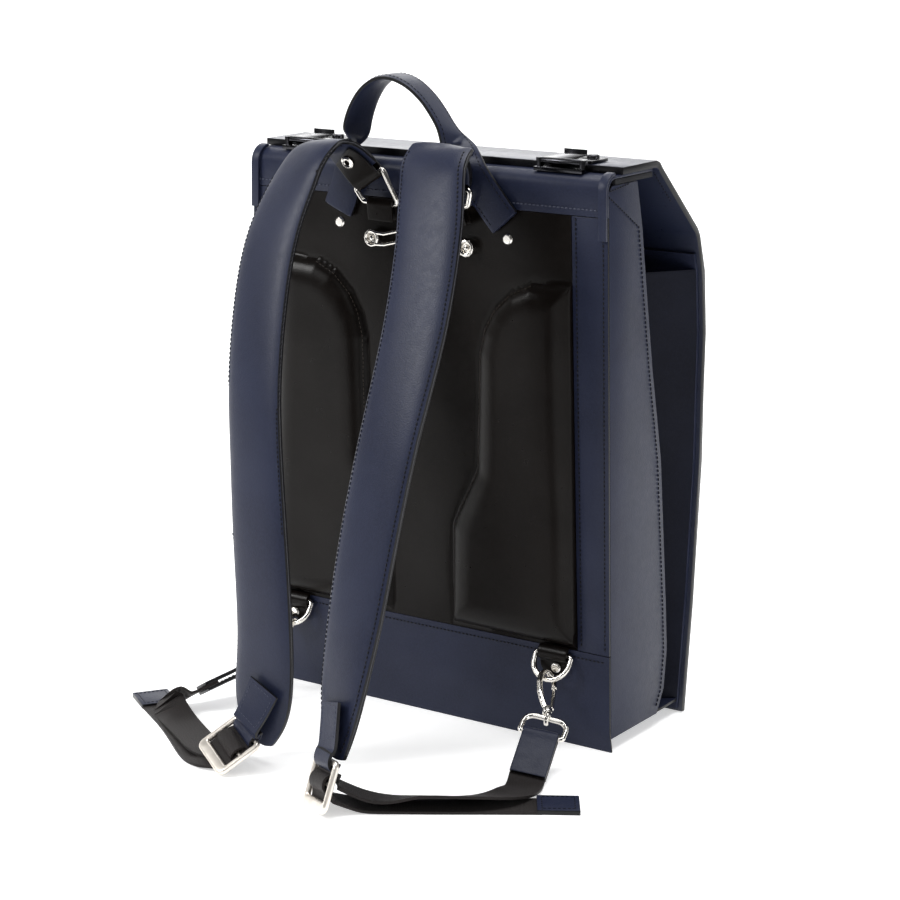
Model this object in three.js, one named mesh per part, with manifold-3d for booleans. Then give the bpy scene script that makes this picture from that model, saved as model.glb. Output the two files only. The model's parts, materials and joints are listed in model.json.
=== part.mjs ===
// A board-stiff leather backpack with a wrap-over flap, two padded shoulder straps, a carrying
// handle, top latches and webbing that clips to the foot of the back. Millimetres, +Z up.
// Origin: the middle of the back wall's foot edge, on the floor.
// +X is to the right as one looks at the back wall, +Y runs from the wearer's back to the flap.

import * as THREE from 'three';
import { mergeVertices } from 'three/addons/utils/BufferGeometryUtils.js';
import ManifoldModule from 'manifold-3d';

const wasm = await ManifoldModule();
wasm.setup();

// Body
const bodyHeight = 360.3;
const topWidth = 268;
const footWidth = 284;
const sideDepth = 73;
const topDepth = 54;
const bottomLift = 8;
const seam = 0.3;
const skin = 1.6;
const backBoard = 3.2;
const gussetWall = 2.2;
const frontWall = 2.2;
const bottomWall = 2.4;
const topBoard = 3.3;
const coverRadius = 9;

// Back face
const bandDrop = 24.3;
const lowerBandHeight = 62.3;
const stripTopWidth = 25.5;
const stripFootWidth = 22.5;
const footFlare = 1.4;
const padRim = 1.1;
const padRise = 8.5;
const padEdgeRun = 20;
const padMargin = 3;
const padColumns = 28;
const padRows = 18;
const pipingWidth = 5.5;
const pipingThickness = 1.8;
const pipingDrop = 38;

// Front pocket and flap
const flapThickness = 4.4;
const flapOverhang = 1.5;
const flapDepth = 120.8;
const pocketWall = 2.6;
const pocketDrop = 60.3;
const pocketFoot = 3;
const pocketInset = 1;
const pocketFoldDepth = 24;
const pocketLeather = 2;
const pocketCurl = 3;
const pocketCurlHeight = 10;

// Latches
const latchOffset = 96.5;
const latchWidth = 34;
const latchBaseDepth = 10;
const latchSetback = 4.2;
const latchPlate = 2.4;
const latchLug = 3;
const haspDepth = 19;
const haspPlate = 1.8;
const leverWidth = 16;
const leverLength = 26;
const leverPlate = 1.2;
const leverTab = 2.6;
const barrelRadius = 2.2;
const pinRadius = 1;
const pinClearance = 0.3;
const knobRadius = 4;
const knobHeight = 2.6;

// Handle
const handleWidth = 22;
const handleThickness = 3.8;
const handleSpan = 128;
const handleRise = 54.7;
const rivetRadius = 3.7;
const rivetHeight = 1.6;
const rivetSpan = 128;
const rivetDrop = 42.8;

// Straps and their top rings
const strapWidth = 48;
const strapEdge = 2.4;
const strapCrown = 5.2;
const strapReach = 160;
const strapTabWidth = 21.5;
const strapTabLeather = 1.6;
const strapStart = 5;
const tabEase = 1.3;
const strapRingWidth = 32.5;
const strapRingOffset = 29;
const strapRingOut = 9.5;
const strapRingDrop = 19.3;
const strapRingTurn = -18;
const ringWire = 1.5;
const ringLoopWidth = 19;
const ringLoopDrop = 11;
const ringLeather = 1.4;
const eyeletRadius = 4.6;
const eyeletBore = 1.9;
const eyeletThickness = 1.2;
const eyeletFrame = 5;
const hangerSpan = 72;
const hangerDrop = 50.3;
const hangerOut = 4.5;
const hangerEye = 4.6;
const hangerWire = 1.1;
const hangerRail = 3.4;
const hangerRise = 2.5;
const hangerPost = 1.7;
const hangerFloor = 1.4;

// Webbing and its hardware
const webWidth = 22;
const webThickness = 1.5;
const webLift = 0.8;
const patchWidth = 24;
const patchThickness = 1.8;
const buckleWidth = 34;
const buckleHeight = 29;
const buckleWire = 1.6;
const buckleBar = 1.3;
const buckleLip = 3.2;
const buckleBarDown = -1.4;
const tipLength = 22;
const tipWidth = 24;
const tipThickness = 3.2;
const tabWidth = 22;
const tabThickness = 1.6;

// Foot rings and snap hooks
const dRingInset = 40;
const dRingHeight = 58.5;
const dRingHalf = 12.9;
const dRingDrop = 17;
const dRingWire = 1.5;
const dRingTilt = 30;
const dRingOut = 2.4;
const dRingLeather = 2;
const dRingTabWidth = 21;
const dRingTabDrop = 14.5;
const dRingRivetDrop = 8.8;
const dRingRivetShift = 1.6;
const hookWire = 1.5;
const hookHalf = 5.8;
const hookCollar = 2.8;
const gateRadius = 1.15;
const loopHalf = 13.7;
const loopWire = 1.4;
const gateFootAcross = 3.4;
const gateFootUp = 9.2;
const gateGap = 0.7;
const hookRoom = 3.66;
const tabReach = 31;
const tabOverlap = 8;

const dRingOffset = footWidth / 2 - dRingInset;

// Depth of the main compartment at each height, as shares of sideDepth and bodyHeight.
const mainFrontTable = [
  { out: 0.49, up: 0.984 },
  { out: 0.57, up: 0.906 },
  { out: 0.645, up: 0.79 },
  { out: 0.745, up: 0.65 },
  { out: 0.822, up: 0.565 },
  { out: 0.89, up: 0.486 },
  { out: 0.98, up: 0.22 },
  { out: 1.0, up: 0.133 },
  { out: 0.945, up: 0.064 },
  { out: 0.82, up: 0.0222 },
];

// Outer outline of the flap in its side view, as shares of flapDepth and of its top face's height.
const flapTable = [
  { out: 0.132, up: 1 },
  { out: 0.47, up: 1 },
  { out: 0.505, up: 0.9955 },
  { out: 0.53, up: 0.986 },
  { out: 0.905, up: 0.868 },
  { out: 0.93, up: 0.855 },
  { out: 0.985, up: 0.79 },
  { out: 1.0, up: 0.68 },
  { out: 0.979, up: 0.575 },
  { out: 0.962, up: 0.449 },
  { out: 0.87, up: 0.195 },
  { out: 0.778, up: 0 },
];

// Inner outline of each raised back pad: its edge's distance from the middle at each height,
// as shares of half the foot width and of bodyHeight.
const padTable = [
  { across: 0.17, up: 0.17 },
  { across: 0.18, up: 0.36 },
  { across: 0.2, up: 0.39 },
  { across: 0.3, up: 0.47 },
  { across: 0.31, up: 0.7 },
  { across: 0.36, up: 0.752 },
  { across: 0.46, up: 0.79 },
  { across: 0.57, up: 0.81 },
  { across: 0.9, up: 0.812 },
];

// The handle's centre line from its left end to its right end. across is a share of half the
// handle's span, out is in handle widths, up the share of its rise above the body's top, wide the
// heading of its width.
const handleTable = [
  { across: -0.99, out: -0.11, up: -0.624, wide: [0.92, 0, -0.4] },
  { across: -0.87, out: -0.14, up: -0.29, wide: [0.94, 0, -0.35] },
  { across: -0.82, out: -0.19, up: -0.047, wide: [0.97, -0.1, -0.25] },
  { across: -0.795, out: -0.2, up: 0.097, wide: [0.7, -0.72, -0.1] },
  { across: -0.78, out: -0.06, up: 0.256, wide: [-0.15, -1, 0] },
  { across: -0.765, out: 0, up: 0.431, wide: [-0.25, -1, 0] },
  { across: -0.68, out: 0, up: 0.659, wide: [-0.2, -1, 0] },
  { across: -0.55, out: 0, up: 0.848, wide: [-0.1, -1, 0] },
  { across: -0.36, out: 0, up: 0.954, wide: [0, -1, 0] },
  { across: -0.125, out: 0, up: 0.894, wide: [0.1, -1, 0] },
  { across: 0.075, out: 0, up: 0.727, wide: [0.15, -1, 0] },
  { across: 0.2, out: -0.02, up: 0.568, wide: [0.15, -1, 0] },
  { across: 0.32, out: -0.06, up: 0.393, wide: [0.1, -1, 0] },
  { across: 0.42, out: -0.1, up: 0.241, wide: [-0.25, -0.93, -0.2] },
  { across: 0.52, out: -0.15, up: 0.082, wide: [-0.7, -0.42, -0.55] },
  { across: 0.62, out: -0.16, up: -0.07, wide: [-0.77, -0.05, -0.62] },
  { across: 0.78, out: -0.14, up: -0.305, wide: [-0.76, 0, -0.64] },
  { across: 0.99, out: -0.11, up: -0.593, wide: [-0.72, 0, -0.69] },
];

// Each shoulder strap's centre line from its ring to its foot, as shares of half the foot
// width, of strapReach and of bodyHeight, with the heading of its width.
const leftStrapTable = [
  { across: -0.278, out: 0.088, up: 0.985, wide: [0.84, -0.05, 0.5] },
  { across: -0.325, out: 0.115, up: 1.013, wide: [0.84, -0.25, 0.4] },
  { across: -0.375, out: 0.168, up: 1.027, wide: [0.82, -0.5, 0.15] },
  { across: -0.412, out: 0.235, up: 1.014, wide: [0.84, -0.5, 0] },
  { across: -0.44, out: 0.31, up: 0.966, wide: [0.92, -0.38, 0] },
  { across: -0.465, out: 0.412, up: 0.888, wide: [0.96, -0.28, 0] },
  { across: -0.448, out: 0.512, up: 0.79, wide: [0.97, -0.25, 0] },
  { across: -0.39, out: 0.63, up: 0.647, wide: [0.97, -0.25, 0] },
  { across: -0.327, out: 0.7, up: 0.533, wide: [0.97, -0.25, 0] },
  { across: -0.252, out: 0.768, up: 0.388, wide: [0.98, -0.2, 0] },
  { across: -0.186, out: 0.82, up: 0.22, wide: [0.98, -0.18, 0] },
  { across: -0.192, out: 0.832, up: 0.12, wide: [0.99, -0.12, 0] },
  { across: -0.238, out: 0.822, up: 0.04, wide: [0.9, -0.1, -0.35] },
];
const rightStrapTable = [
  { across: 0.255, out: 0.088, up: 0.985, wide: [0.9, -0.05, -0.35] },
  { across: 0.248, out: 0.115, up: 1.015, wide: [0.97, -0.05, -0.2] },
  { across: 0.24, out: 0.17, up: 1.034, wide: [0.99, -0.14, -0.04] },
  { across: 0.262, out: 0.252, up: 1.014, wide: [0.98, -0.2, 0] },
  { across: 0.303, out: 0.325, up: 0.966, wide: [0.985, -0.15, 0] },
  { across: 0.35, out: 0.4, up: 0.904, wide: [0.99, -0.12, 0] },
  { across: 0.392, out: 0.548, up: 0.758, wide: [0.985, -0.14, 0] },
  { across: 0.384, out: 0.7, up: 0.597, wide: [0.967, -0.21, 0] },
  { across: 0.36, out: 0.8, up: 0.44, wide: [0.963, -0.225, 0] },
  { across: 0.35, out: 0.885, up: 0.3, wide: [0.95, -0.28, 0] },
  { across: 0.334, out: 0.95, up: 0.175, wide: [0.9, -0.43, 0] },
  { across: 0.322, out: 0.978, up: 0.078, wide: [0.85, -0.52, 0] },
];

// Corners of a strap's four-sided ring in its own plane, as shares of its width, from the corner
// nearest the top round to the outer one. across grows toward the middle of the back.
const strapRingTable = [
  { across: 0.215, up: 0.467 },
  { across: 0.538, up: -0.237 },
  { across: -0.307, up: -0.222 },
  { across: -0.48, up: 0.025 },
];

// Places along the straps' feet, as shares of half the foot width, of strapReach and of bodyHeight.
// Where each slide buckle lies: its middle, the heading of its width and of its height.
const buckles = {
  left: {
    middle: { across: -0.2746, out: 0.9563, up: 0.0402 },
    wide: [0.855, -0.443, -0.261],
    down: [-0.513, -0.672, -0.537],
  },
  right: {
    middle: { across: 0.3521, out: 1.1062, up: 0.0472 },
    wide: [0.831, -0.531, 0.169],
    down: [-0.057, -0.378, -0.921],
  },
};

// Where each strap's end patch starts on the strap, above the buckle.
const patchRoutes = {
  left: [
    { across: -0.1338, out: 0.8919, up: 0.1471 },
    { across: -0.1796, out: 0.9075, up: 0.1055 },
    { across: -0.2148, out: 0.9219, up: 0.0749 },
  ],
  right: [
    { across: 0.3239, out: 1.0063, up: 0.1721 },
    { across: 0.338, out: 1.035, up: 0.1332 },
    { across: 0.3521, out: 1.0675, up: 0.1027 },
  ],
};

// Where the webbing's middle runs from the buckle, above its place flat on the floor: one strand
// to its leather tip, the other to the leather tab of the hook's loop, ending at the tab's far end.
// Its turn over the buckle's bar is in shares of the buckle's height.
const webbingRoutes = {
  left: {
    tail: [
      { across: -0.7887, out: 0.725, up: 0, wide: [0.57, 0.82, 0] },
      { across: -0.5739, out: 0.8688, up: 0.0001, wide: [0.57, 0.82, 0] },
      { across: -0.4507, out: 0.9469, up: 0.0007, wide: [0.57, 0.82, 0] },
      { across: -0.3662, out: 0.9688, up: 0.0022, wide: [0.45, 0.89, 0] },
      { across: -0.2676, out: 0.9531, up: 0.0056, wide: [0.4, 0.91, 0] },
    ],
    turn: [
      { down: 0.1448, out: -0.3448 },
      { down: 0.1793, out: -0.1586 },
      { down: 0.131, out: -0.0345 },
      { down: 0.0552, out: 0.0759 },
      { down: -0.0483, out: 0.1034 },
      { down: -0.1586, out: 0.0759 },
      { down: -0.2345, out: -0.0345 },
      { down: -0.2552, out: -0.1586 },
      { down: -0.1897, out: -0.3103 },
      { down: -0.1034, out: -0.4483 },
    ],
    lead: [
      { across: -0.2465, out: 0.925, up: 0.0133, wide: [0.4, 0.91, 0] },
      { across: -0.3239, out: 0.925, up: 0.0122, wide: [0.45, 0.89, 0] },
      { across: -0.4331, out: 0.9125, up: 0.0105, wide: [0.57, 0.82, 0] },
      { across: -0.5775, out: 0.8313, up: 0.0072, wide: [0.52, 0.85, 0] },
      { across: -0.7746, out: 0.7188, up: 0.0061, wide: [0.48, 0.87, 0.05] },
      { across: -0.9085, out: 0.6438, up: 0.0105, wide: [0.5, 0.72, 0.35] },
      { across: -0.9648, out: 0.6, up: 0.0228, wide: [0.68, 0.2, 0.6] },
      { across: -0.9401, out: 0.5625, up: 0.0297, wide: [0.76, -0.3, 0.55] },
      { across: -0.8944, out: 0.5406, up: 0.025, wide: [0.77, -0.47, 0.44] },
    ],
    tip: { middle: { across: -1.1127, out: 0.5406, up: 0 }, course: [-0.82, 0.57] },
  },
  right: {
    tail: [
      { across: 0.7887, out: 0.8063, up: 0, wide: [0.55, -0.83, 0] },
      { across: 0.5775, out: 0.9313, up: 0.0006, wide: [0.55, -0.83, 0] },
      { across: 0.4648, out: 1, up: 0.0022, wide: [0.6, -0.8, 0] },
      { across: 0.4014, out: 1.0531, up: 0.0133, wide: [0.75, -0.65, 0.1] },
      { across: 0.3676, out: 1.0969, up: 0.0272, wide: [0.83, -0.53, 0.17] },
    ],
    turn: [
      { down: 0.1931, out: -0.2414 },
      { down: 0.1793, out: -0.1586 },
      { down: 0.131, out: -0.0345 },
      { down: 0.0552, out: 0.0759 },
      { down: -0.0483, out: 0.1034 },
      { down: -0.1586, out: 0.0759 },
      { down: -0.2345, out: -0.0345 },
      { down: -0.2621, out: -0.1586 },
      { down: -0.269, out: -0.2414 },
    ],
    lead: [
      { across: 0.3725, out: 1.0662, up: 0.06, wide: [0.83, -0.53, 0.17] },
      { across: 0.3979, out: 1.0312, up: 0.0422, wide: [0.78, -0.6, 0.15] },
      { across: 0.4648, out: 0.9938, up: 0.0186, wide: [0.62, -0.78, 0.1] },
      { across: 0.5775, out: 0.9406, up: 0.0122, wide: [0.55, -0.8, 0.2] },
      { across: 0.6761, out: 0.8875, up: 0.0186, wide: [0.5, -0.76, 0.36] },
      { across: 0.7887, out: 0.8187, up: 0.0172, wide: [0.52, -0.76, 0.37] },
      { across: 0.8803, out: 0.7375, up: 0.0144, wide: [0.62, -0.7, 0.3] },
      { across: 0.9437, out: 0.65, up: 0.013, wide: [0.85, -0.45, 0.05] },
      { across: 0.9437, out: 0.5625, up: 0.0067, wide: [0.97, -0.05, 0] },
      { across: 0.9197, out: 0.5031, up: 0.0058, wide: [0.96, 0.26, -0.08] },
      { across: 0.9007, out: 0.4644, up: 0.01, wide: [0.93, 0.3, -0.16] },
    ],
    tip: { middle: { across: 1.1585, out: 0.5875, up: 0 }, course: [0.83, 0.55] },
  },
};

// Where each hook's loop lies: the middle of its top bar and of its lower bar, and the heading
// of its bars.
const loops = {
  left: {
    top: { across: -0.762, out: 0.2362, up: 0.076 },
    foot: { across: -0.7817, out: 0.3125, up: 0.0555 },
    wide: [0.77, -0.47, 0.44],
  },
  right: {
    top: { across: 0.8303, out: 0.2206, up: 0.0788 },
    foot: { across: 0.8521, out: 0.3, up: 0.0611 },
    wide: [0.93, 0.3, -0.16],
  },
};

// Half the body's width at a height: the back narrows evenly from its foot to its top.
function halfWidth(z) {
  return (footWidth + (topWidth - footWidth) * z / bodyHeight) / 2;
}

// One key's value where another key of the same rows has a given value, straight between rows.
function between(rows, key, value, wanted) {
  const last = rows.length - 1;
  let i = 0;
  while (i < last - 1 && (rows[i + 1][key] - value) * (rows[0][key] - rows[last][key]) > 0) i++;
  const share = (value - rows[i][key]) / (rows[i + 1][key] - rows[i][key]);
  return rows[i][wanted] + share * (rows[i + 1][wanted] - rows[i][wanted]);
}

function add(a, b, factor = 1) {
  return a.map((value, i) => value + b[i] * factor);
}

function unit(a) {
  const size = Math.hypot(...a);
  return a.map((value) => value / size);
}

function cross(a, b) {
  return [a[1] * b[2] - a[2] * b[1], a[2] * b[0] - a[0] * b[2], a[0] * b[1] - a[1] * b[0]];
}

function dot(a, b) {
  return a.reduce((sum, value, i) => sum + value * b[i], 0);
}

// The part of a heading that is square to another one.
function squareTo(a, along) {
  return unit(add(a, along, -dot(a, along)));
}

// A closed geometry with its faces turned outward.
function faceOutward(geometry) {
  const points = geometry.attributes.position;
  const index = geometry.index.array;
  const corner = (i) => new THREE.Vector3().fromBufferAttribute(points, index[i]);
  let volume = 0;
  for (let i = 0; i < index.length; i += 3) {
    volume += corner(i).dot(corner(i + 1).cross(corner(i + 2)));
  }
  if (volume < 0) {
    for (let i = 0; i < index.length; i += 3) {
      [index[i], index[i + 1]] = [index[i + 1], index[i]];
    }
  }
  return geometry;
}

// Triangles that close a ring of points, wound in the ring's own order.
function capFaces(ring) {
  const middle = ring.reduce((sum, point) => add(sum, point, 1 / ring.length), [0, 0, 0]);
  let normal = [0, 0, 0];
  ring.forEach((point, i) => {
    const next = ring[(i + 1) % ring.length];
    normal = add(normal, cross(add(point, middle, -1), add(next, middle, -1)));
  });
  normal = unit(normal);
  const across = squareTo(Math.abs(normal[0]) < 0.8 ? [1, 0, 0] : [0, 1, 0], normal);
  const upward = cross(normal, across);
  const flat = ring.map((point) => new THREE.Vector2(dot(point, across), dot(point, upward)));
  return THREE.ShapeUtils.triangulateShape(flat, []).map(([a, b, c]) => {
    const turn = flat[b].clone().sub(flat[a]).cross(flat[c].clone().sub(flat[a]));
    return turn > 0 ? [a, b, c] : [a, c, b];
  });
}

// A closed solid through rings of points; a looped one joins its last ring to its first.
function loft(rings, looped = false) {
  const sides = rings[0].length;
  const faces = [];
  const spans = looped ? rings.length : rings.length - 1;
  for (let i = 0; i < spans; i++) {
    const here = i * sides;
    const next = ((i + 1) % rings.length) * sides;
    for (let j = 0; j < sides; j++) {
      const k = (j + 1) % sides;
      faces.push(here + j, here + k, next + k, here + j, next + k, next + j);
    }
  }
  if (!looped) {
    const end = (rings.length - 1) * sides;
    capFaces(rings[0]).forEach(([a, b, c]) => faces.push(a, c, b));
    capFaces(rings.at(-1)).forEach(([a, b, c]) => faces.push(end + a, end + b, end + c));
  }
  const geometry = new THREE.BufferGeometry();
  geometry.setAttribute('position', new THREE.Float32BufferAttribute(rings.flat(2), 3));
  geometry.setIndex(faces);
  return faceOutward(geometry);
}

function mapPoints(geometry, change) {
  const points = geometry.attributes.position;
  for (let i = 0; i < points.count; i++) {
    points.setXYZ(i, ...change(points.getX(i), points.getY(i), points.getZ(i)));
  }
  return geometry;
}

function bare(geometry) {
  geometry.deleteAttribute('normal');
  geometry.deleteAttribute('uv');
  return mergeVertices(geometry, 1e-4);
}

function mirrored(geometry) {
  return faceOutward(mapPoints(geometry.clone(), (x, y, z) => [-x, y, z]));
}

function toManifold(geometry) {
  const { attributes, index } = geometry;
  return new wasm.Manifold(new wasm.Mesh({
    numProp: 3,
    vertProperties: new Float32Array(attributes.position.array),
    triVerts: new Uint32Array(index.array),
  }));
}

function fromManifold(manifold) {
  const mesh = manifold.getMesh();
  const geometry = new THREE.BufferGeometry();
  geometry.setAttribute('position', new THREE.BufferAttribute(mesh.vertProperties, 3));
  geometry.setIndex(new THREE.BufferAttribute(mesh.triVerts, 1));
  return geometry;
}

function joined(geometries, cuts = []) {
  const whole = geometries.map(toManifold).reduce((sum, next) => sum.add(next));
  return fromManifold(cuts.map(toManifold).reduce((rest, next) => rest.subtract(next), whole));
}

function shapeOf(points) {
  return new THREE.Shape(points.map(([x, y]) => new THREE.Vector2(x, y)));
}

// A plate whose outline is drawn in x and z, from a depth y onward.
function backPlate(points, y, thickness) {
  const plate = new THREE.ExtrudeGeometry(shapeOf(points), { depth: thickness, bevelEnabled: false });
  return bare(mapPoints(plate, (x, z, depth) => [x, y + thickness - depth, z]));
}

// A plate whose outline is drawn in y and z, running across the body to within inset of each side.
function acrossBody(shape, inset) {
  const options = { depth: 2, bevelEnabled: false, curveSegments: 6 };
  const plate = new THREE.ExtrudeGeometry(shape, options);
  return bare(mapPoints(plate, (y, z, depth) => [(depth - 1) * (halfWidth(z) - inset), y, z]));
}

// A plate whose outline is drawn in y and z, lying along one side of the body.
function alongSide(shape, side, inset, thickness) {
  const options = { depth: 1, bevelEnabled: false, curveSegments: 6 };
  const plate = new THREE.ExtrudeGeometry(shape, options);
  const place = (y, z, depth) => [side * (halfWidth(z) - inset - (1 - depth) * thickness), y, z];
  return faceOutward(bare(mapPoints(plate, place)));
}

// A row of places moved sideways by a distance, to the left of its course, mitred at its corners.
function offsetPath(points, distance) {
  return points.map((point, i) => {
    const before = points[Math.max(i - 1, 0)];
    const after = points[Math.min(i + 1, points.length - 1)];
    const first = i > 0 ? unit(add(point, before, -1)) : unit(add(after, point, -1));
    const second = i < points.length - 1 ? unit(add(after, point, -1)) : first;
    const middle = unit(add(first, second));
    const reach = distance / Math.max(dot(first, middle), 0.3);
    return [point[0] - middle[1] * reach, point[1] + middle[0] * reach];
  });
}

// A closed or open outline with each corner [x, y, radius] rounded by an arc.
function roundCorners(corners, steps, closed = true) {
  const outline = [];
  corners.forEach(([x, y, radius], i) => {
    if (!closed && (i === 0 || i === corners.length - 1)) {
      outline.push([x, y]);
      return;
    }
    const before = corners.at(i - 1);
    const after = corners[(i + 1) % corners.length];
    const toBefore = unit([before[0] - x, before[1] - y]);
    const toAfter = unit([after[0] - x, after[1] - y]);
    const half = Math.acos(THREE.MathUtils.clamp(dot(toBefore, toAfter), -1, 1)) / 2;
    const inward = unit(add(toBefore, toAfter));
    const centre = add([x, y], inward, radius / Math.sin(half));
    const start = add([x, y], toBefore, radius / Math.tan(half));
    const from = Math.atan2(start[1] - centre[1], start[0] - centre[0]);
    const turn = Math.sign(cross([...toBefore, 0], [...toAfter, 0])[2]) * (Math.PI - 2 * half);
    for (let k = 0; k <= steps; k++) {
      const angle = from - turn * k / steps;
      outline.push([centre[0] + radius * Math.cos(angle), centre[1] + radius * Math.sin(angle)]);
    }
  });
  return outline;
}

// A round wire along a flat outline, in the plane of two headings through a point.
function wire(outline, radius, sides, origin, first, second, closed = true) {
  const normal = cross(first, second);
  const last = outline.length - 1;
  const rings = outline.map((point, i) => {
    const before = closed ? outline.at(i - 1) : outline[Math.max(i - 1, 0)];
    const after = closed ? outline[(i + 1) % outline.length] : outline[Math.min(i + 1, last)];
    const course = unit(add(after, before, -1));
    const centre = add(add(origin, first, point[0]), second, point[1]);
    const outward = add(add([0, 0, 0], first, course[1]), second, -course[0]);
    return Array.from({ length: sides }, (_, k) => {
      const angle = 2 * Math.PI * (k + 0.5) / sides;
      return add(add(centre, outward, radius * Math.cos(angle)), normal, radius * Math.sin(angle));
    });
  });
  return loft(rings, closed);
}

// A round peg from one point to another.
function peg(from, to, radius, sides) {
  const course = unit(add(to, from, -1));
  const across = squareTo(Math.abs(course[0]) < 0.8 ? [1, 0, 0] : [0, 1, 0], course);
  const upward = cross(course, across);
  const ring = (centre) => Array.from({ length: sides }, (_, k) => {
    const angle = 2 * Math.PI * (k + 0.5) / sides;
    return add(add(centre, across, radius * Math.cos(angle)), upward, radius * Math.sin(angle));
  });
  return loft([ring(from), ring(to)]);
}

// A block between limits along three headings through a point.
function block(origin, headings, low, high) {
  const corner = (a, b, c) => add(add(add(origin, headings[0], a), headings[1], b), headings[2], c);
  const ring = (a) => [
    corner(a, low[1], low[2]),
    corner(a, high[1], low[2]),
    corner(a, high[1], high[2]),
    corner(a, low[1], high[2]),
  ];
  return loft([ring(low[0]), ring(high[0])]);
}

// A turned piece, its profile in radius and height, standing on a point along a heading.
function turned(profile, origin, heading, sides) {
  const points = profile.map(([radius, height]) => new THREE.Vector2(radius, height));
  const lathe = bare(new THREE.LatheGeometry(points, sides));
  const turn = new THREE.Quaternion().setFromUnitVectors(
    new THREE.Vector3(0, 1, 0), new THREE.Vector3(...heading));
  lathe.applyQuaternion(turn);
  lathe.translate(...origin);
  return faceOutward(lathe);
}

// Places and headings along rows of { at, wide }, smooth between the rows.
function routeFrames(rows, steps) {
  const route = new THREE.CatmullRomCurve3(rows.map((row) => new THREE.Vector3(...row.at)));
  route.curveType = 'centripetal';
  const headings = rows.map((row) => new THREE.Vector3(...row.wide).normalize());
  const widths = new THREE.CatmullRomCurve3(headings, false, 'catmullrom', 0.5);
  return Array.from({ length: steps + 1 }, (_, i) => {
    const at = route.getPoint(i / steps).toArray();
    const course = route.getTangent(i / steps).toArray();
    const wide = squareTo(widths.getPoint(i / steps).toArray(), course);
    return { at, course, wide, out: cross(course, wide) };
  });
}

// A band through frames, its section in across and out, with its width scaled at each frame.
function band(frames, section, scale = () => 1) {
  return loft(frames.map((frame, i) => section.map(([across, out]) => {
    const place = add(frame.at, frame.wide, across * scale(i / (frames.length - 1), frame));
    return add(place, frame.out, out);
  })));
}

function flatSection(width, thickness) {
  const half = width / 2;
  return [[-half, -thickness / 2], [half, -thickness / 2], [half, thickness / 2], [-half, thickness / 2]];
}

// A strip folded round a bar: its near layer, the turn and its far layer follow one set of frames.
function foldedStrip(bar, frames, size) {
  const { barOffset, layerOffset, width, thickness } = size;
  const first = frames[0];
  const layer = (frame, side) => ({ at: add(frame.at, frame.out, side * layerOffset), wide: frame.wide });
  const turn = [-90, -45, 0, 45, 90].map((degrees) => {
    const angle = THREE.MathUtils.degToRad(degrees);
    const back = add(bar, first.course, -barOffset * Math.cos(angle));
    return { at: add(back, first.out, barOffset * Math.sin(angle)), wide: first.wide };
  });
  const near = [...frames].reverse().map((frame) => layer(frame, -1));
  const far = frames.map((frame) => layer(frame, 1));
  const rows = [...near, ...turn, ...far];
  return band(routeFrames(rows, (rows.length - 1) * 2), flatSection(width, thickness));
}

// Depth of the main compartment's front at a height.
function mainDepth(z) {
  const rows = mainFrontTable.map((row) => ({ up: row.up * bodyHeight, out: row.out * sideDepth }));
  return between(rows, 'up', z, 'out');
}

const pocketHeight = bodyHeight - pocketDrop;
const flapTop = bodyHeight + seam + flapThickness;
const flapOuter = flapTable.map((row) => [row.out * flapDepth, row.up * flapTop]);
const flapInner = offsetPath(flapOuter, -flapThickness);

// Depth of the flap's inner face at a height.
function flapInnerDepth(z) {
  const rows = flapInner.slice(4).map(([out, up]) => ({ out, up }));
  return between(rows, 'up', z, 'out');
}

const coverBottom = bodyHeight - bandDrop;
const gussetTop = bodyHeight - skin - seam - topBoard - seam;
const boardFace = skin + seam;

// Back wall, top and sides
function makeBackWall() {
  const top = bodyHeight - coverRadius - seam;
  const side = (z) => halfWidth(z) - gussetWall - seam;
  const outline = [[-side(0), 0], [side(0), 0], [side(top), top], [-side(top), top]];
  return backPlate(outline, boardFace, backBoard);
}

function makeTopCover() {
  const outer = roundCorners([
    [0, coverBottom, 0],
    [0, bodyHeight, coverRadius],
    [topDepth, bodyHeight, 0],
  ], 6, false);
  return acrossBody(shapeOf([...outer, ...offsetPath(outer, -skin).reverse()]), 0);
}

function makeTopBoard() {
  const top = bodyHeight - skin - seam;
  const start = coverRadius + seam;
  const outline = [[start, top - topBoard], [topDepth, top - topBoard], [topDepth, top], [start, top]];
  return acrossBody(shapeOf(outline), 0);
}

function stripInner(z) {
  return halfWidth(z) - THREE.MathUtils.mapLinear(z, 0, bodyHeight, stripFootWidth, stripTopWidth);
}

function makeSideStrip() {
  const low = lowerBandHeight + seam;
  const high = coverBottom - seam;
  const outline = [
    [stripInner(low), low],
    [halfWidth(low), low],
    [halfWidth(high), high],
    [stripInner(high), high],
  ];
  return backPlate(outline, 0, skin);
}

function makeLowerBand() {
  const corner = halfWidth(0) + footFlare;
  const bend = lowerBandHeight / 5;
  const outline = [
    [-corner, 0],
    [corner, 0],
    [halfWidth(bend), bend],
    [halfWidth(lowerBandHeight), lowerBandHeight],
    [-halfWidth(lowerBandHeight), lowerBandHeight],
    [-halfWidth(bend), bend],
  ];
  return backPlate(outline, 0, skin);
}

// Distance from a point to the nearest side of an outline, nothing when outside it.
function depthInside(outline, point) {
  let inside = false;
  let nearest = Infinity;
  outline.forEach((start, i) => {
    const end = outline[(i + 1) % outline.length];
    const side = add(end, start, -1);
    const share = THREE.MathUtils.clamp(dot(add(point, start, -1), side) / dot(side, side), 0, 1);
    const gap = add(add(start, side, share), point, -1);
    nearest = Math.min(nearest, Math.hypot(...gap));
    if (start[1] > point[1] !== end[1] > point[1]) {
      const crossing = start[0] + (point[1] - start[1]) / side[1] * side[0];
      inside = point[0] < crossing ? !inside : inside;
    }
  });
  return inside ? nearest : 0;
}

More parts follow.
